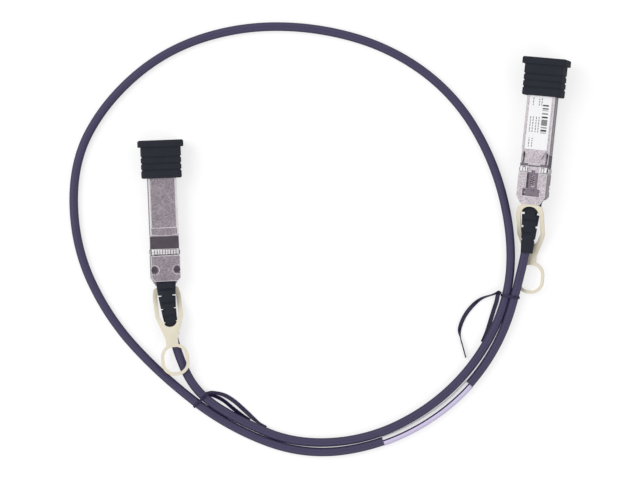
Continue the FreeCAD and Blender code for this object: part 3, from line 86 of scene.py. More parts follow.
# The cable's route from the right plug to the left one, in metres.
ROUTE = [
    (0.08566, 0.01119, 0.00649), (0.08406, -0.00471, 0.00569), (0.0808, -0.0244, 0.0050),
    (0.0710, -0.0603, 0.0031), (0.0490, -0.0894, 0.0027), (0.0156, -0.1092, 0.0027),
    (-0.0228, -0.1151, 0.0025), (-0.0600, -0.1012, 0.0029), (-0.0920, -0.0766, 0.0030),
    (-0.1176, -0.0489, 0.0023), (-0.1337, -0.0145, 0.0023), (-0.1348, 0.0251, 0.0023),
    (-0.1193, 0.0546, 0.0023), (-0.0916, 0.0789, 0.0023), (-0.0568, 0.0908, 0.0023),
    (-0.0193, 0.0911, 0.0023), (0.0176, 0.0809, 0.0023), (0.0480, 0.0588, 0.0023),
    (0.0674, 0.0266, 0.0023), (0.0761, -0.0094, 0.0028), (0.0740, -0.0406, 0.0031),
    (0.0591, -0.0703, 0.0030), (0.0360, -0.0929, 0.0025), (0.0062, -0.1073, 0.0024),
    (-0.0273, -0.1094, 0.0024), (-0.0547, -0.0982, 0.0029), (-0.0749, -0.0853, 0.0031),
    (-0.0842, -0.0672, 0.0030), (-0.08934, -0.04391, 0.00597), (-0.08994, -0.02791, 0.00657),
]

# Where each twist tie holds the cable: distances along the cable of the two strands in it.
TIE_PLACES = {"right": (50.8 * MM, 699.5 * MM), "left": (243.3 * MM, 882.2 * MM)}

# The ties' two loose ends, from the twist to the tip: place in millimetres and roll in degrees, 0 lying flat.
TIE_TAILS = {
    "right": (
        ((70.3, -37.1, 3.2, -270), (69.4, -36.6, 3.0, 20), (66.6, -37.6, 2.2, 75), (61.3, -39.5, 1.5, 60),
         (57.0, -43.0, 1.3, 28), (53.2, -48.0, 1.3, 28), (50.9, -54.0, 1.3, 40), (51.3, -58.4, 1.3, 86),
         (52.5, -62.9, 1.3, 90), (53.8, -67.8, 1.3, 90)),
        ((70.4, -37.3, 3.2, -180), (69.3, -37.0, 2.8, 110), (68.5, -41.0, 1.7, 165),
         (67.1, -45.4, 1.3, 168), (65.6, -50.4, 1.2, 168), (63.8, -56.0, 1.2, 172),
         (61.9, -60.4, 1.2, 180))),
    "left": (
        ((-71.2, -86.2, 3.2, -270), (-70.1, -85.0, 3.0, 20), (-67.6, -84.5, 2.2, 60),
         (-62.2, -85.8, 1.6, 40), (-57.3, -88.8, 1.4, 25), (-51.9, -93.6, 1.3, 20),
         (-48.2, -97.0, 1.3, 45), (-45.2, -99.3, 1.3, 75), (-41.8, -101.0, 1.3, 88)),
        ((-71.2, -86.4, 3.2, -180), (-69.9, -85.4, 2.8, 110), (-66.2, -86.4, 1.9, 140),
         (-62.0, -88.8, 1.5, 140), (-57.9, -92.2, 1.3, 145), (-53.6, -95.6, 1.2, 150),
         (-50.0, -98.0, 1.2, 150))),
}

# The wrap label's strips that show its seam, the share of its white kept on its paler half, dimmed there as
# painted shade, and the film's own thickness as a share of its height over the jacket.
SEAM_STRIPS = 2
FILM_SHADE_SHARE = 0.87
FILM_SHARE = 0.6

# The type label's print, in millimetres from the plug's middle and from the head's rear. The bars lie
# between two limits across the label, and each has its middle and its thickness along it. The rows of dashes
# run from a start to an end, each at its own place across.
BAR_LIMITS = (-4.2, -1.3)
BARS = (
    ((44.7, 0.7), (43.2, 0.6), (39.1, 0.8), (32.8, 0.9)),
    ((42.3, 0.35), (40.8, 0.7), (36.6, 2.9), (34.2, 0.6)),
    ((31.7, 0.6),),
)
DASH_ROWS = (
    (44.5, 48.2, (3.4, 0.5, -0.7)),
    (31.7, 39.7, (4.0, 2.7, 1.2, -0.1)),
    (24.7, 29.0, (3.7, 2.2)),
)

# The dashes' ink, their shortest length and its spread, the gap after each, half their thickness, and the least
# room that takes one more; then how far the print stands through the label's face.
DASH_INK = 1
DASH_SHORTEST = 0.7
DASH_SPREAD = 0.5
DASH_GAP = 0.35
DASH_HALF = 0.22
DASH_LEAST = 0.3
PRINT_HEIGHT = 0.02
INKS = (("black_ink", 0.03), ("grey_ink", 0.22), ("pale_ink", 0.45))

# Each lamp's place, size and power, the light from all round, and the card's green beside its red and blue.
LAMPS = {"key_light": ((-0.75, 0.25, 0.95), 0.9, 7.0), "fill_light": ((0.8, -0.5, 0.9), 0.8, 3.0)}
WORLD_LIGHT = 0.62
CARD_GREEN = 0.93
FLOOR_SIZE = 3
FLOOR_DROP = 0.02 * MM


# ---- sizes and colours ----

class CableSettings(bpy.types.PropertyGroup):
    """Sizes and colours of the cable and of what is wound round it."""

    diameter: FloatProperty(name="Diameter", description="Diameter of the jacket", default=4.2 * MM,
                            unit="LENGTH")
    length: FloatProperty(name="Length", description="Length between the two heads", default=0.944,
                          unit="LENGTH")
    wrap_start: FloatProperty(name="Wrap start", description="Start of the wrap label along the cable",
                              default=98.2 * MM, unit="LENGTH")
    wrap_length: FloatProperty(name="Wrap length", description="Length of the wrap label", default=50 * MM,
                               unit="LENGTH")
    wrap_film: FloatProperty(name="Wrap film", description="Thickness of the wrap label", default=0.22 * MM,
                             unit="LENGTH")
    jacket: FloatVectorProperty(name="Jacket", description="Colour of the jacket", subtype="COLOR",
                                default=(0.045, 0.038, 0.092), min=0, max=1)
    tie: FloatVectorProperty(name="Tie", description="Colour of the twist ties", subtype="COLOR",
                             default=(0.018, 0.012, 0.045), min=0, max=1)
    wrap: FloatVectorProperty(name="Wrap label", description="Colour of the wrap label", subtype="COLOR",
                              default=(0.88, 0.88, 0.90), min=0, max=1)
    # Painted shade: half of the wrap label's round takes this lilac grey for the shade on that side.
    shaded_tint: FloatVectorProperty(name="Laminate", description="Colour of the wrap label's clear lap over it",
                                  subtype="COLOR", default=(0.64, 0.58, 0.80), min=0, max=1)
    seam: FloatVectorProperty(name="Seam", description="Colour of the wrap label's seam", subtype="COLOR",
                              default=(0.020, 0.010, 0.050), min=0, max=1)
    tie_width: FloatProperty(name="Tie width", description="Width of a twist tie", default=2.0 * MM,
                             unit="LENGTH")
    band_width: FloatProperty(name="Band width", description="Width of a tie where it is pulled tight",
                              default=1.3 * MM, unit="LENGTH")
    tie_thickness: FloatProperty(name="Tie thickness", description="Thickness of a twist tie",
                                 default=0.5 * MM, unit="LENGTH")


class PlugSettings(bpy.types.PropertyGroup):
    """Sizes and colours of the two plugs."""

    casting_round: FloatProperty(name="Casting edges", description="Rounding of the castings' edges",
                                 default=0.26 * MM, unit="LENGTH")
    latch_round: FloatProperty(name="Latch casting's edges",
                               description="Rounding of the thin-walled latch castings",
                               default=0.15 * MM, unit="LENGTH")
    moulding_round: FloatProperty(name="Moulded edges", description="Rounding of the mouldings' edges",
                                  default=0.28 * MM, unit="LENGTH")
    finger_round: FloatProperty(name="Finger arches", description="Rounding of the collar fingers' arches",
                                default=0.35 * MM, unit="LENGTH")
    finger_rear: FloatProperty(name="Fingers' rear",
                               description="Rear of the collar fingers from the head's rear",
                               default=12.3 * MM, unit="LENGTH")
    finger_front: FloatProperty(name="Fingers' front", description="Front of the collar fingers",
                                default=15.6 * MM, unit="LENGTH")
    sheet_round: FloatProperty(name="Sheet edges", description="Rounding of the stamped sheets' edges",
                               default=0.05 * MM, unit="LENGTH")
    nose_end: FloatProperty(name="Nose", description="Rear of the head to the mating face", default=61 * MM,
                            unit="LENGTH")
    casting: FloatVectorProperty(name="Casting", description="Colour of the plated castings", subtype="COLOR",
                                 default=(0.61, 0.55, 0.60), min=0, max=1)
    # Painted highlight: the castings' rounded edges and the collars' finger strips take this bright colour for
    # the light they catch.
    edge: FloatVectorProperty(name="Casting edge", description="Colour of the castings' rubbed edges",
                              subtype="COLOR", default=(0.93, 0.91, 0.93), min=0, max=1)
    collar: FloatVectorProperty(name="Collar", description="Colour of the spring collars", subtype="COLOR",
                                default=(0.21, 0.185, 0.22), min=0, max=1)
    steel: FloatVectorProperty(name="Steel", description="Colour of the spring steel", subtype="COLOR",
                               default=(0.24, 0.205, 0.25), min=0, max=1)
    rubber: FloatVectorProperty(name="Rubber", description="Colour of the boots and caps", subtype="COLOR",
                                default=(0.021, 0.023, 0.033), min=0, max=1)
    tab: FloatVectorProperty(name="Tab", description="Colour of the pull tabs", subtype="COLOR",
                             default=(0.76, 0.706, 0.567), min=0, max=1)


class StageSettings(bpy.types.PropertyGroup):
    """Floor, light and camera."""

    card_place: FloatVectorProperty(name="Card", description="Where the grey card hangs",
                                    subtype="TRANSLATION", default=(0.38, 0.0, 1.7))
    card_size: FloatProperty(name="Card size", description="Diameter of the grey card", default=1.5,
                             unit="LENGTH")
    card_shade: FloatProperty(name="Card shade", description="Light of the grey card", default=0.34)
    eye: FloatVectorProperty(name="Camera", description="Where the camera stands", subtype="TRANSLATION",
                             default=(-0.01616, -0.01139, 1.0))
    view_angle: FloatProperty(name="View angle", description="Camera's angle of view across the frame",
                              subtype="ANGLE", default=math.radians(17.49))
    floor: FloatVectorProperty(name="Floor", description="Colour of the floor", subtype="COLOR",
                               default=(0.44, 0.44, 0.443), min=0, max=1)
    floor_glow: FloatProperty(name="Floor glow", description="Light the floor itself shows the camera",
                              default=0.62)


# ---- shared effects ----

def sockets(tree, inputs, outputs):
    """Names a node group's inputs, with their defaults, and its outputs."""
    for name, value in inputs.items():
        kind = "NodeSocketColor" if isinstance(value, tuple) else "NodeSocketFloat"
        tree.interface.new_socket(name, in_out="INPUT", socket_type=kind).default_value = value
    for name, kind in outputs.items():
        tree.interface.new_socket(name, in_out="OUTPUT", socket_type=kind)


def joined(tree, kind, **values):
    """A node whose named properties are set and whose inputs take values or other nodes' outputs."""
    node = tree.nodes.new(kind)
    for name, value in values.items():
        if hasattr(node, name):
            setattr(node, name, value)
        elif isinstance(value, bpy.types.NodeSocket):
            tree.links.new(value, node.inputs[name.replace("_", " ")])
        else:
            node.inputs[name.replace("_", " ")].default_value = value
    return node


def math_node(tree, operation, first, second):
    """One sum of two values or sockets."""
    node = tree.nodes.new("ShaderNodeMath")
    node.operation = operation
    for place, value in enumerate((first, second)):
        if isinstance(value, bpy.types.NodeSocket):
            tree.links.new(value, node.inputs[place])
        else:
            node.inputs[place].default_value = value
    return node.outputs[0]


def mottle_group():
    """Colour and roughness that drift over a surface, and a fine grain's height."""
    if "Mottle" in bpy.data.node_groups:
        return bpy.data.node_groups["Mottle"]
    tree = bpy.data.node_groups.new("Mottle", "ShaderNodeTree")
    sockets(tree, {"Colour": (0.5, 0.5, 0.5, 1.0), "Patch Size": 0.004, "Patch Change": 0.1,
                   "Grain Size": 0.0004, "Grain Change": 0.05, "Roughness": 0.5, "Roughness Change": 0.1},
            {"Colour": "NodeSocketColor", "Roughness": "NodeSocketFloat", "Height": "NodeSocketFloat"})
    given = tree.nodes.new("NodeGroupInput").outputs
    place = tree.nodes.new("ShaderNodeTexCoord").outputs["Object"]
    noises = []
    for size, detail in (("Patch Size", 3.0), ("Grain Size", 2.0)):
        noise = joined(tree, "ShaderNodeTexNoise", Vector=place, Detail=detail)
        tree.links.new(math_node(tree, "DIVIDE", 1.0, given[size]), noise.inputs["Scale"])
        noises.append(math_node(tree, "SUBTRACT", noise.outputs[0], 0.5))
    patches, grain = noises
    change = math_node(tree, "ADD", math_node(tree, "MULTIPLY", patches, given["Patch Change"]),
                       math_node(tree, "MULTIPLY", grain, given["Grain Change"]))
    factor = math_node(tree, "ADD", math_node(tree, "MULTIPLY", change, 2.0), 1.0)
    tinted = tree.nodes.new("ShaderNodeVectorMath")
    tinted.operation = "SCALE"
    tree.links.new(given["Colour"], tinted.inputs[0])
    tree.links.new(factor, tinted.inputs["Scale"])
    roughness = math_node(tree, "ADD", given["Roughness"],
                          math_node(tree, "MULTIPLY", patches, given["Roughness Change"]))
    result = tree.nodes.new("NodeGroupOutput").inputs
    tree.links.new(tinted.outputs[0], result["Colour"])
    tree.links.new(roughness, result["Roughness"])
    tree.links.new(grain, result["Height"])
    return tree


def mottled(name, colour, roughness, patches, grain, relief, **shader):
    """A material whose colour and roughness drift and whose surface is finely grained.

    Patches and grain are each a size and a share of change, and relief is the grain's height; the sizes are
    in millimetres.
    """
    material = bpy.data.materials.new(name)
    material.use_nodes = True
    tree = material.node_tree
    principled = tree.nodes["Principled BSDF"]
    for socket, value in shader.items():
        principled.inputs[socket.replace("_", " ")].default_value = value
    drift = tree.nodes.new("ShaderNodeGroup")
    drift.node_tree = mottle_group()
    values = {"Colour": (*colour, 1.0), "Patch Size": patches[0] * MM, "Patch Change": patches[1],
              "Grain Size": grain[0] * MM, "Grain Change": grain[1], "Roughness": roughness,
              "Roughness Change": 0.12}
    for socket, value in values.items():
        drift.inputs[socket].default_value = value
    tree.links.new(drift.outputs["Colour"], principled.inputs["Base Color"])
    tree.links.new(drift.outputs["Roughness"], principled.inputs["Roughness"])
    bump = joined(tree, "ShaderNodeBump", Height=drift.outputs["Height"], Strength=1.0, Distance=relief * MM)
    tree.links.new(bump.outputs[0], principled.inputs["Normal"])
    return material


# ---- finishes ----

def casting_finish():
    """Satin nickel over a die casting, a little blotched."""
    return mottled("plated_casting", bpy.context.scene.plug.casting, roughness=0.34, patches=(2.4, 0.25),
                   grain=(0.7, 0.7), relief=0.03, Metallic=1.0)


def steel_finish():
    """Plated spring steel."""
    return mottled("spring_steel", bpy.context.scene.plug.steel, roughness=0.26, patches=(3, 0.20),
                   grain=(0.5, 0.25), relief=0.004, Metallic=1.0)


def highlight_finish():
    """Bright metal as painted highlight, on the castings' rounded edges and the collars' finger strips."""
    return mottled("highlight_metal", bpy.context.scene.plug.edge, roughness=0.48, patches=(2, 0.10),
                   grain=(0.5, 0.10), relief=0.002, Metallic=1.0)


def collar_finish():
    """Dull plated sheet."""
    return mottled("collar_sheet", bpy.context.scene.plug.collar, roughness=0.32, patches=(3, 0.15),
                   grain=(0.5, 0.25), relief=0.004, Metallic=1.0)


def rubber_finish():
    """Soft dark elastomer with a matt moulded skin."""
    return mottled("dark_rubber", bpy.context.scene.plug.rubber, roughness=0.62, patches=(4, 0.20),
                   grain=(0.18, 0.15), relief=0.012, Specular_IOR_Level=0.15)


def tab_finish():
    """Cream moulded nylon."""
    return mottled("cream_nylon", bpy.context.scene.plug.tab, roughness=0.42, patches=(8, 0.05),
                   grain=(0.3, 0.02), relief=0.004, Subsurface_Weight=0.12, Subsurface_Scale=1.2 * MM)


def jacket_finish():
    """Extruded cable jacket with a slight sheen."""
    return mottled("cable_jacket_skin", bpy.context.scene.cable.jacket, roughness=0.46, patches=(9, 0.10),
                   grain=(0.12, 0.08), relief=0.006, Specular_IOR_Level=0.5)


def film_finish(name, colour):
    """Printed film."""
    return mottled(name, colour, roughness=0.40, patches=(6, 0.03), grain=(0.25, 0.02), relief=0.002)


def ink_finish(name, shade):
    """Printed ink."""
    return mottled(name, (shade, shade, shade * 1.05), roughness=0.5, patches=(1, 0.1), grain=(0.1, 0.1),
                   relief=0.001)


def tie_finish():
    """Glossy plastic over a wire core."""
    return mottled("tie_plastic", bpy.context.scene.cable.tie, roughness=0.34, patches=(3, 0.2),
                   grain=(0.3, 0.1), relief=0.01, Specular_IOR_Level=0.4)


def board_finish():
    """Green solder mask."""
    return mottled("solder_mask", (0.020, 0.11, 0.045), roughness=0.30, patches=(2, 0.2), grain=(0.2, 0.08),
                   relief=0.004, Coat_Weight=0.4)


def gold_finish():
    """Gold plating."""
    return mottled("gold_plating", (0.86, 0.60, 0.24), roughness=0.24, patches=(1, 0.08), grain=(0.1, 0.04),
                   relief=0.002, Metallic=1.0)


def copper_finish():
    """Crimped copper alloy."""
    return mottled("copper_sleeve", (0.70, 0.42, 0.27), roughness=0.34, patches=(1.5, 0.12),
                   grain=(0.2, 0.06), relief=0.006, Metallic=1.0)


def foil_finish():
    """Aluminium foil over the conductors."""
    return mottled("pair_foil", (0.72, 0.72, 0.75), roughness=0.32, patches=(0.8, 0.2), grain=(0.2, 0.1),
                   relief=0.02, Metallic=1.0)


def chip_finish():
    """Black moulding compound."""
    return mottled("moulding_compound", (0.018, 0.018, 0.02), roughness=0.55, patches=(1, 0.1),
                   grain=(0.1, 0.1), relief=0.004)


# ---- shared work on pieces ----

def paint(thing, *materials):
    """Gives a piece its materials in place of any it has."""
    thing.data.materials.clear()
    for material in materials:
        thing.data.materials.append(material)
    return thing


def object_of(name, shape, *materials):
    """Makes an object of a bmesh, in its materials."""
    mesh = bpy.data.meshes.new(name)
    shape.to_mesh(mesh)
    shape.free()
    made = bpy.data.objects.new(name, mesh)
    bpy.context.collection.objects.link(made)
    for material in materials:
        mesh.materials.append(material)
    return made


def piece_of(name, shape, body, slot, *materials):
    """Makes a piece of a bmesh and lets it ride on a body."""
    piece = object_of(name, shape, *materials)
    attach(piece, body)
    return piece


def own_form(node):
    """A node's own form, welded and with its flat faces whole."""
    shape = bmesh.new()
    shape.from_mesh(frame["nodes"][node].data)
    bmesh.ops.remove_doubles(shape, verts=shape.verts, dist=WELD)
    bmesh.ops.dissolve_limit(shape, angle_limit=FLAT_ANGLE, verts=shape.verts, edges=shape.edges)
    return shape


def smooth(shape, sharp_angle=None):
    """Lets light run smoothly over every face, but not over edges as steep as an angle, if it is given."""
    for face in shape.faces:
        face.smooth = True
    if sharp_angle is not None:
        for edge in shape.edges:
            edge.smooth = len(edge.link_faces) == 2 and edge.calc_face_angle() < sharp_angle


def round_edges(piece, rounding, segments, angle):
    """Rounds a piece's edges that are steeper than an angle."""
    bevel = piece.modifiers.new("edges", "BEVEL")
    bevel.width = rounding
    bevel.segments = segments
    bevel.limit_method = "ANGLE"
    bevel.angle_limit = angle
    bevel.harden_normals = True


def edged(node, body, slot, rounding, material, segments=2):
    """A node's own form with its edges rounded, in place of the node."""
    shape = own_form(node)
    smooth(shape)
    piece = piece_of(f"{node}_finished", shape, body, slot, material)
    round_edges(piece, rounding, segments, EDGE_ANGLE)
    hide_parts(node)


def cast(node, rounding, material, highlight):
    """A cast shell with its outer edges rounded and coloured bright as painted highlight, in place of the node.
    """
    shape = own_form(node)
    rims = [edge for edge in shape.edges
            if len(edge.link_faces) == 2 and edge.calc_face_angle_signed() > EDGE_ANGLE]
    # The bevels take the second material, a painted highlight along the edges.
    bmesh.ops.bevel(shape, geom=rims, offset=rounding, segments=2, profile=0.5, affect="EDGES", material=1,
                    clamp_overlap=False)
    smooth(shape, CASTING_SHARP)
    piece = piece_of(f"{node}_finished", shape, ASSEMBLY, "zinc_shell", material, highlight)
    piece.modifiers.new("flats", "WEIGHTED_NORMAL").keep_sharp = True
    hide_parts(node)


def arched(side, material, highlight):
    """A spring collar with its fingers' bends rounded and its finger strip coloured bright as painted
    highlight, in place of the node.
    """
    settings = bpy.context.scene.plug
    inward = plug_frame(side).inverted()
    node = f"{side}_emi_gasket"
    shape = own_form(node)
    least, most = BEND_ANGLES
    bends = [edge for edge in shape.edges
             if len(edge.link_faces) == 2 and least < edge.calc_face_angle() < most]
    bmesh.ops.bevel(shape, geom=bends, offset=settings.finger_round, segments=BEND_SEGMENTS, profile=0.5,
                    affect="EDGES", clamp_overlap=True)
    smooth(shape, COLLAR_SHARP)
    # Faces between the fingers' rear and front take the second material, a painted highlight on the finger
    # strip.
    for face in shape.faces:
        along = [(inward @ vertex.co).y for vertex in face.verts]
        face.material_index = int(settings.finger_rear < min(along) and max(along) < settings.finger_front)
    piece = piece_of(f"{node}_finished", shape, ASSEMBLY, "spring_steel", material, highlight)
    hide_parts(node)


def plug_frame(side):
    """A plug's own axes in the row frame: across, forward to the nose, and out of the cover."""
    mount = next(m for m in frame["record"]["mounts"] if m["name"] == f"{side}_plug")
    forward = Vector(mount["axis"]).normalized()
    level = forward.cross(Vector((0, 0, 1))).normalized()
    upright = level.cross(forward)
    roll = math.radians(PLUG_ROLLS[side])
    across = level * math.cos(roll) - upright * math.sin(roll)
    out = level * math.sin(roll) + upright * math.cos(roll)
    rear = Vector(mount["pos_m"]) - forward * bpy.context.scene.plug.nose_end
    turn = Matrix((across, forward, out)).transposed().to_4x4()
    return Matrix.Translation(rear) @ turn


def line_points(curve_object):
    """Points along a curve's own line, read from it with no bevel."""
    plain = curve_object.copy()
    plain.data = curve_object.data.copy()
    plain.data.bevel_depth = 0
    bpy.context.collection.objects.link(plain)
    bpy.context.view_layer.update()
    mesh = bpy.data.meshes.new_from_object(plain)
    points = [vertex.co.copy() for vertex in mesh.vertices]
    bpy.data.objects.remove(plain)
    return points


def stretch(points, start, end):
    """The part of a line between two distances from its start, with both ends worked out."""
    kept = []
    travelled = 0.0
    for here, ahead in zip(points, points[1:]):
        step = (ahead - here).length
        for limit in (start, end):
            if travelled <= limit < travelled + step:
                kept.append(here.lerp(ahead, (limit - travelled) / step))
        if start < travelled + step < end:
            kept.append(ahead)
        travelled += step
    return kept


def point_at(points, distance):
    """The place and the direction of a line at a distance from its start."""
    travelled = 0.0
    for here, ahead in zip(points, points[1:]):
        step = (ahead - here).length
        if travelled + step >= distance:
            return here.lerp(ahead, (distance - travelled) / step), (ahead - here).normalized()
        travelled += step
    return points[-1], (points[-1] - points[-2]).normalized()


def stations(line):
    """Every point of a line with its forward, level and upright directions."""
    found = []
    for number, place in enumerate(line):
        forward = (line[min(number + 1, len(line) - 1)] - line[max(number - 1, 0)]).normalized()
        level = forward.cross(Vector((0, 0, 1))).normalized()
        found.append((place, forward, level, level.cross(forward)))
    return found


def flowing(stops, steps=8):
    """A smooth run through stops."""
    ends = [stops[0], *stops, stops[-1]]
    run = []
    for before, here, ahead, after in zip(ends, ends[1:], ends[2:], ends[3:]):
        for step in range(steps):
            part = step / steps
            run.append((here * 2 + (ahead - before) * part
                        + (before * 2 - here * 5 + ahead * 4 - after) * part ** 2
                        + (here * 3 - before - ahead * 3 + after) * part ** 3) / 2)
    return [*run, stops[-1]]


def strip_ring(shape, place, wide, thick):
    """Four vertices round a flat strip."""
    return [shape.verts.new(place + wide * across + thick * through)
            for across, through in ((1, 1), (-1, 1), (-1, -1), (1, -1))]


def skin(shape, rings, closed=False):
    """Faces between rings of vertices, gathered by their place round the ring."""
    strips = [[] for _ in rings[0]]
    for here, ahead in zip(rings, rings[1:] + (rings[:1] if closed else [])):
        for number, strip in enumerate(strips):
            strip.append(shape.faces.new((here[number], here[number - 1], ahead[number - 1], ahead[number])))
    return strips


# ---- cable ----

class CABLE_OT_jacket(bpy.types.Operator):
    """Lays the cable along its route"""

    bl_idname = "cable.jacket"
    bl_label = "Cable jacket"

    def execute(self, context):
        settings = context.scene.cable
        curve = bpy.data.curves.new("cable", "CURVE")
        curve.dimensions = "3D"
        spline = curve.splines.new("NURBS")
        spline.points.add(len(ROUTE) - 1)
        for point, place in zip(spline.points, ROUTE):
            point.co = (*place, 1.0)
        spline.order_u = 3
        spline.use_endpoint_u = True
        spline.use_smooth = True
        curve.resolution_u = 20
        curve.bevel_depth = settings.diameter / 2
        curve.bevel_resolution = 6
        curve.use_fill_caps = True
        cable = bpy.data.objects.new("cable", curve)
        context.collection.objects.link(cable)
        curve.materials.append(jacket_finish())
        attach(cable, ASSEMBLY)
        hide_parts("cable_jacket")
        return {"FINISHED"}


class CABLE_OT_wrap(bpy.types.Operator):
    """Winds the white label round the cable"""

    bl_idname = "cable.wrap"
    bl_label = "Wrap label"

    sides: IntProperty(name="Sides", description="Sides of the label's round", default=40)
    seam_turn: FloatProperty(name="Seam", subtype="ANGLE", default=math.radians(8),
                             description="Turn of the seam from the top, to the inside of the coil")

    def execute(self, context):
        settings = context.scene.cable
        line = stretch(line_points(bpy.data.objects["cable"]), settings.wrap_start,
                       settings.wrap_start + settings.wrap_length)
        radius = settings.diameter / 2 + settings.wrap_film
        shape = bmesh.new()
        turns = [self.seam_turn - math.tau * number / self.sides for number in range(self.sides)]
        rings = []
        for place, _, level, upright in stations(line):
            outward = [upright * math.cos(turn) + level * math.sin(turn) for turn in turns]
            rings.append([shape.verts.new(place + out * radius) for out in outward])
        strips = skin(shape, rings)
        # Painted shade: past the seam strips, half of the round is lilac grey and the other half is the white
        # film dimmed a little.
        for number, strip in enumerate(strips):
            for face in strip:
                face.material_index = 2 if number < SEAM_STRIPS else 1 if number < self.sides / 2 else 0
        bmesh.ops.recalc_face_normals(shape, faces=shape.faces)
        smooth(shape)
        # Painted shade: the white film dimmed for the paler half.
        dimmed = film_finish("wrap_film", [shade * FILM_SHADE_SHARE for shade in settings.wrap])
        # Painted shade: the lilac half of the label's round.
        shaded_half = film_finish("wrap_shaded_tint", settings.shaded_tint)
        seam = film_finish("wrap_seam", settings.seam)
        wrap = piece_of("wrap_label_film", shape, ASSEMBLY, "label_paper", dimmed, shaded_half, seam)
        film = wrap.modifiers.new("film", "SOLIDIFY")
        film.thickness = settings.wrap_film * FILM_SHARE
        film.offset = -1
        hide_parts("wrap_label")
        return {"FINISHED"}


class CABLE_OT_ties(bpy.types.Operator):
    bl_idname = "cable.ties"
    bl_label = "Twist ties"

    def execute(self, context):
        settings = context.scene.cable
        line = line_points(bpy.data.objects["cable"])
        finish = tie_finish()
        for side in SIDES:
            shape = bmesh.new()
            tie_band(shape, *(point_at(line, distance) for distance in TIE_PLACES[side]))
            for tail in TIE_TAILS[side]:
                tie_tail(shape, tail)
            bmesh.ops.recalc_face_normals(shape, faces=shape.faces)
            smooth(shape)
            tie = piece_of(f"{side}_tie_wound", shape, ASSEMBLY, "tie", finish)
            round_edges(tie, settings.tie_thickness * TIE_ROUNDING, 2, TIE_EDGE_ANGLE)
            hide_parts(f"{side}_twist_tie")
        return {"FINISHED"}


def tie_band(shape, first, second):
    """The part of a tie pulled round two strands, given each strand's centre and direction."""
    settings = bpy.context.scene.cable
    across = (second[0] - first[0]).normalized()
    along = first[1] - across * first[1].dot(across)
    along.normalize()
    over = across.cross(along)
    radius = (settings.diameter + settings.tie_thickness) / 2
    steps = 14
    rings = []
    for place, start in ((second[0], -math.pi / 2), (first[0], math.pi / 2)):
        for step in range(steps + 1):
            turn = start + math.pi * step / steps
            out = across * math.cos(turn) + over * math.sin(turn)
            rings.append(strip_ring(shape, place + out * radius, along * settings.band_width / 2,
                                    out * settings.tie_thickness / 2))
    skin(shape, rings, closed=True)


def tie_tail(shape, stops):
    """A tie's loose end: a flat strip through its stops, rolling as they say."""
    settings = bpy.context.scene.cable
    run = flowing([Vector((x * MM, y * MM, z * MM, math.radians(roll))) for x, y, z, roll in stops])
    rings = []
    for stop, (place, forward, level, upright) in zip(run, stations([stop.to_3d() for stop in run])):
        wide = level * math.cos(stop.w) + upright * math.sin(stop.w)
        rings.append(strip_ring(shape, place, wide * settings.tie_width / 2,
                                wide.cross(forward) * settings.tie_thickness / 2))
    skin(shape, rings)
    for end in (rings[0], rings[-1]):
        shape.faces.new(end)


# ---- plugs ----

class CABLE_OT_castings(bpy.types.Operator):
    """Finishes the plugs' cast shells"""

    bl_idname = "cable.castings"
    bl_label = "Cast shells"

    def execute(self, context):
        settings = context.scene.plug
        finish = casting_finish()
        highlight = highlight_finish()
        for side in SIDES:
            cast(f"{side}_top_shell", settings.casting_round, finish, highlight)
            cast(f"{side}_bottom_shell", settings.latch_round, finish, highlight)
        return {"FINISHED"}


class CABLE_OT_latches(bpy.types.Operator):
    """Finishes the spring collars, sliders and screws"""

    bl_idname = "cable.latches"
    bl_label = "Collars, sliders and screws"

    def execute(self, context):
        finish = steel_finish()
        collar = collar_finish()
        highlight = bpy.data.materials["highlight_metal"]
        rounding = context.scene.plug.sheet_round
        for side in SIDES:
            paint(frame["nodes"][f"{side}_cover_screws"], finish)
            arched(side, collar, highlight)
            edged(f"{side}_latch_slider", f"{side}_release", "spring_steel", rounding, finish)
        return {"FINISHED"}


class CABLE_OT_springs(bpy.types.Operator):
    """Winds the return springs"""

    bl_idname = "cable.springs"
    bl_label = "Return springs"

    wire: FloatProperty(name="Wire", description="Wire of the spring", default=0.3 * MM, unit="LENGTH")
    coil: FloatProperty(name="Coil", description="Mean diameter of the spring", default=1.35 * MM,
                        unit="LENGTH")
    rear: FloatProperty(name="Rear", description="Rear end of the spring", default=6.2 * MM, unit="LENGTH")
    front: FloatProperty(name="Front", description="Front end of the spring", default=11.2 * MM,
                         unit="LENGTH")
    level: FloatProperty(name="Level", description="Axis from mid height", default=-3.45 * MM, unit="LENGTH")
    turns: IntProperty(name="Turns", description="Turns of the spring", default=5)
    steps: IntProperty(name="Steps", description="Steps in a turn of the spring", default=24)

    def execute(self, context):
        finish = steel_finish()
        steps = self.turns * self.steps
        axis_point = (0, self.rear, self.level)
        length = self.front - self.rear - self.wire
        for side in SIDES:
            place = plug_frame(side)
            shape = bmesh.new()
            start = Matrix.Translation((self.coil / 2, self.rear + self.wire / 2, self.level))
            bmesh.ops.create_circle(shape, segments=10, radius=self.wire / 2, matrix=start, cap_ends=False)
            bmesh.ops.spin(shape, geom=[*shape.edges, *shape.verts], cent=axis_point, axis=(0, 1, 0),
                           dvec=(0, length / steps, 0), angle=math.tau * self.turns, steps=steps,
                           use_duplicate=False)
            bmesh.ops.holes_fill(shape, edges=shape.edges, sides=0)
            bmesh.ops.recalc_face_normals(shape, faces=shape.faces)
            bmesh.ops.transform(shape, matrix=place, verts=shape.verts)
            smooth(shape)
            spring = piece_of(f"{side}_spring_coil", shape, ASSEMBLY, "spring_steel", finish)
            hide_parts(f"{side}_return_spring")
            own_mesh(spring)
        return {"FINISHED"}


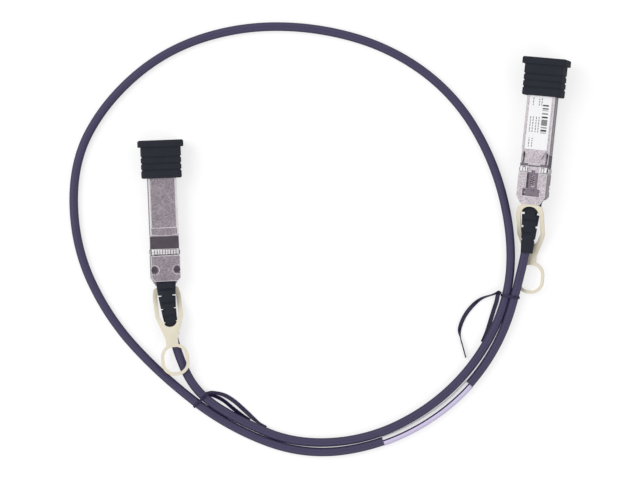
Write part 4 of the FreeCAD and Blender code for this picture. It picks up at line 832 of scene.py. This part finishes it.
class CABLE_OT_mouldings(bpy.types.Operator):
    """Finishes the boots, dust caps and pull tabs"""

    bl_idname = "cable.mouldings"
    bl_label = "Boots, caps and tabs"

    def execute(self, context):
        rubber = rubber_finish()
        tab = tab_finish()
        rounding = context.scene.plug.moulding_round
        for side in SIDES:
            edged(f"{side}_strain_relief_boot", ASSEMBLY, "boot_rubber", rounding, rubber)
            edged(f"{side}_dust_cap", f"{side}_cap", "cap_rubber", rounding, rubber)
            edged(f"{side}_pull_tab", f"{side}_release", "tab_nylon", rounding, tab, segments=3)
        return {"FINISHED"}


class CABLE_OT_inner(bpy.types.Operator):
    """Finishes what the shells hold"""

    bl_idname = "cable.inner"
    bl_label = "Inner pieces"

    def execute(self, context):
        finishes = {"circuit_board": board_finish(), "edge_contacts": gold_finish(),
                    "memory_chip": chip_finish(), "crimp_ferrule": copper_finish(),
                    "signal_pairs": foil_finish()}
        for side in SIDES:
            for node, finish in finishes.items():
                paint(frame["nodes"][f"{side}_{node}"], finish)
        return {"FINISHED"}


class CABLE_OT_label(bpy.types.Operator):
    """Finishes the type label and prints plain bars and dashes on it"""

    bl_idname = "cable.label"
    bl_label = "Type label"

    face: FloatProperty(name="Face", description="Label's outer face from mid height", default=-4.37 * MM,
                        unit="LENGTH")

    def execute(self, context):
        paint(frame["nodes"]["right_type_label"], film_finish("label_film", context.scene.cable.wrap))
        shape = bmesh.new()
        for ink, marks in enumerate(label_marks()):
            for (left, right), (rear, front) in marks:
                middle = Vector(((left + right) / 2, (rear + front) / 2, 0)) * MM + Vector((0, 0, self.face))
                size = Matrix.Diagonal(((right - left) * MM, (front - rear) * MM, PRINT_HEIGHT * MM, 1))
                made = bmesh.ops.create_cube(shape, size=1, matrix=Matrix.Translation(middle) @ size)
                for face in {face for vertex in made["verts"] for face in vertex.link_faces}:
                    face.material_index = ink
        bmesh.ops.transform(shape, matrix=plug_frame("right"), verts=shape.verts)
        piece_of("type_label_print", shape, ASSEMBLY, "chip", *(ink_finish(*ink) for ink in INKS))
        return {"FINISHED"}


def label_marks():
    """Limits across and along the label, in millimetres, of its marks in each ink."""
    marks = [[(BAR_LIMITS, (middle - thickness / 2, middle + thickness / 2)) for middle, thickness in bars]
             for bars in BARS]
    for start, end, offsets in DASH_ROWS:
        for row, offset in enumerate(offsets):
            along, step = start, 0
            while along < end - DASH_LEAST:
                length = min(DASH_SHORTEST + DASH_SPREAD * ((step * 3 + row * 2) % 4) / 3, end - along)
                marks[DASH_INK].append(((offset - DASH_HALF, offset + DASH_HALF), (along, along + length)))
                along += length + DASH_GAP
                step += 1
    return marks


# ---- stage ----

class CABLE_OT_stage(bpy.types.Operator):
    """Lays the floor and sets the light and the camera"""

    bl_idname = "cable.stage"
    bl_label = "Stage"

    def execute(self, context):
        settings = context.scene.stage
        lay_floor(settings)
        light_world(context.scene)
        hang_card(settings.card_place, settings.card_size, settings.card_shade)
        for name, (place, size, power) in LAMPS.items():
            light = bpy.data.lights.new(name, "AREA")
            light.shape = "SQUARE"
            light.size = size
            light.energy = power
            lamp = bpy.data.objects.new(name, light)
            lamp.visible_glossy = False
            lamp.location = place
            lamp.rotation_euler = Vector(place).to_track_quat("Z", "Y").to_euler()
            context.collection.objects.link(lamp)
        camera = bpy.data.objects.new("camera", bpy.data.cameras.new("camera"))
        camera.data.lens_unit = "FOV"
        camera.data.angle = settings.view_angle
        camera.data.clip_start = 0.01
        camera.location = settings.eye
        context.collection.objects.link(camera)
        context.scene.camera = camera
        context.scene.view_settings.view_transform = "Standard"
        return {"FINISHED"}


def lay_floor(settings):
    """A wide pale floor that keeps the soft shadows."""
    shape = bmesh.new()
    bmesh.ops.create_grid(shape, x_segments=1, y_segments=1, size=FLOOR_SIZE)
    bmesh.ops.translate(shape, verts=shape.verts, vec=(0, 0, -FLOOR_DROP))
    material = bpy.data.materials.new("floor_paper")
    material.use_nodes = True
    tree = material.node_tree
    principled = tree.nodes["Principled BSDF"]
    principled.inputs["Base Color"].default_value = (*settings.floor, 1)
    principled.inputs["Roughness"].default_value = 0.9
    principled.inputs["Specular IOR Level"].default_value = 0.1
    seen = tree.nodes.new("ShaderNodeLightPath").outputs["Is Camera Ray"]
    glow = joined(tree, "ShaderNodeEmission", Color=(1, 1, 1, 1))
    tree.links.new(math_node(tree, "MULTIPLY", seen, settings.floor_glow), glow.inputs["Strength"])
    both = tree.nodes.new("ShaderNodeAddShader")
    tree.links.new(principled.outputs[0], both.inputs[0])
    tree.links.new(glow.outputs[0], both.inputs[1])
    tree.links.new(both.outputs[0], tree.nodes["Material Output"].inputs["Surface"])
    floor = object_of("floor", shape, material)


def light_world(scene):
    """Plain light from all round, white where the camera or a reflection sees it."""
    world = bpy.data.worlds.new("studio")
    scene.world = world
    world.use_nodes = True
    tree = world.node_tree
    background = tree.nodes["Background"]
    background.inputs["Color"].default_value = (1, 1, 1, 1)
    path = tree.nodes.new("ShaderNodeLightPath")
    seen = math_node(tree, "MAXIMUM", path.outputs["Is Camera Ray"], path.outputs["Is Glossy Ray"])
    tree.links.new(math_node(tree, "MAXIMUM", seen, WORLD_LIGHT), background.inputs["Strength"])


def hang_card(place, size, shade):
    """A grey card overhead that only reflections see."""
    shape = bmesh.new()
    bmesh.ops.create_circle(shape, cap_ends=True, segments=48, radius=size / 2,
                            matrix=Matrix.Translation(Vector(place)))
    material = bpy.data.materials.new("grey_card")
    material.use_nodes = True
    tree = material.node_tree
    glow = joined(tree, "ShaderNodeEmission", Color=(shade, shade * CARD_GREEN, shade, 1))
    tree.links.new(glow.outputs[0], tree.nodes["Material Output"].inputs["Surface"])
    card = object_of("overhead_card", shape, material)
    for kind in ("camera", "diffuse", "shadow", "transmission", "volume_scatter"):
        setattr(card, f"visible_{kind}", False)


# ---- panel and run ----

class CABLE_PT_panel(bpy.types.Panel):
    """Lists the pieces and their settings"""

    bl_idname = "CABLE_PT_panel"
    bl_label = "Direct attach cable"
    bl_space_type = "VIEW_3D"
    bl_region_type = "UI"
    bl_category = "Cable"

    def draw(self, context):
        for group in (context.scene.cable, context.scene.plug, context.scene.stage):
            box = self.layout.box()
            for name in group.__annotations__:
                box.prop(group, name)
        for operator in OPERATORS:
            self.layout.operator(operator.bl_idname)


SETTINGS = {"cable": CableSettings, "plug": PlugSettings, "stage": StageSettings}
OPERATORS = (CABLE_OT_stage, CABLE_OT_jacket, CABLE_OT_wrap, CABLE_OT_ties, CABLE_OT_castings,
             CABLE_OT_latches, CABLE_OT_springs, CABLE_OT_mouldings, CABLE_OT_inner, CABLE_OT_label)


def register():
    for group in (*SETTINGS.values(), *OPERATORS, CABLE_PT_panel):
        bpy.utils.register_class(group)
    for name, group in SETTINGS.items():
        setattr(bpy.types.Scene, name, PointerProperty(type=group))


def unregister():
    for name in SETTINGS:
        delattr(bpy.types.Scene, name)
    for group in (CABLE_PT_panel, *reversed(OPERATORS), *SETTINGS.values()):
        bpy.utils.unregister_class(group)


def main():
    register()
    for operator in OPERATORS:
        module, name = operator.bl_idname.split(".")
        getattr(getattr(bpy.ops, module), name)()


if __name__ == "__main__":
    main()
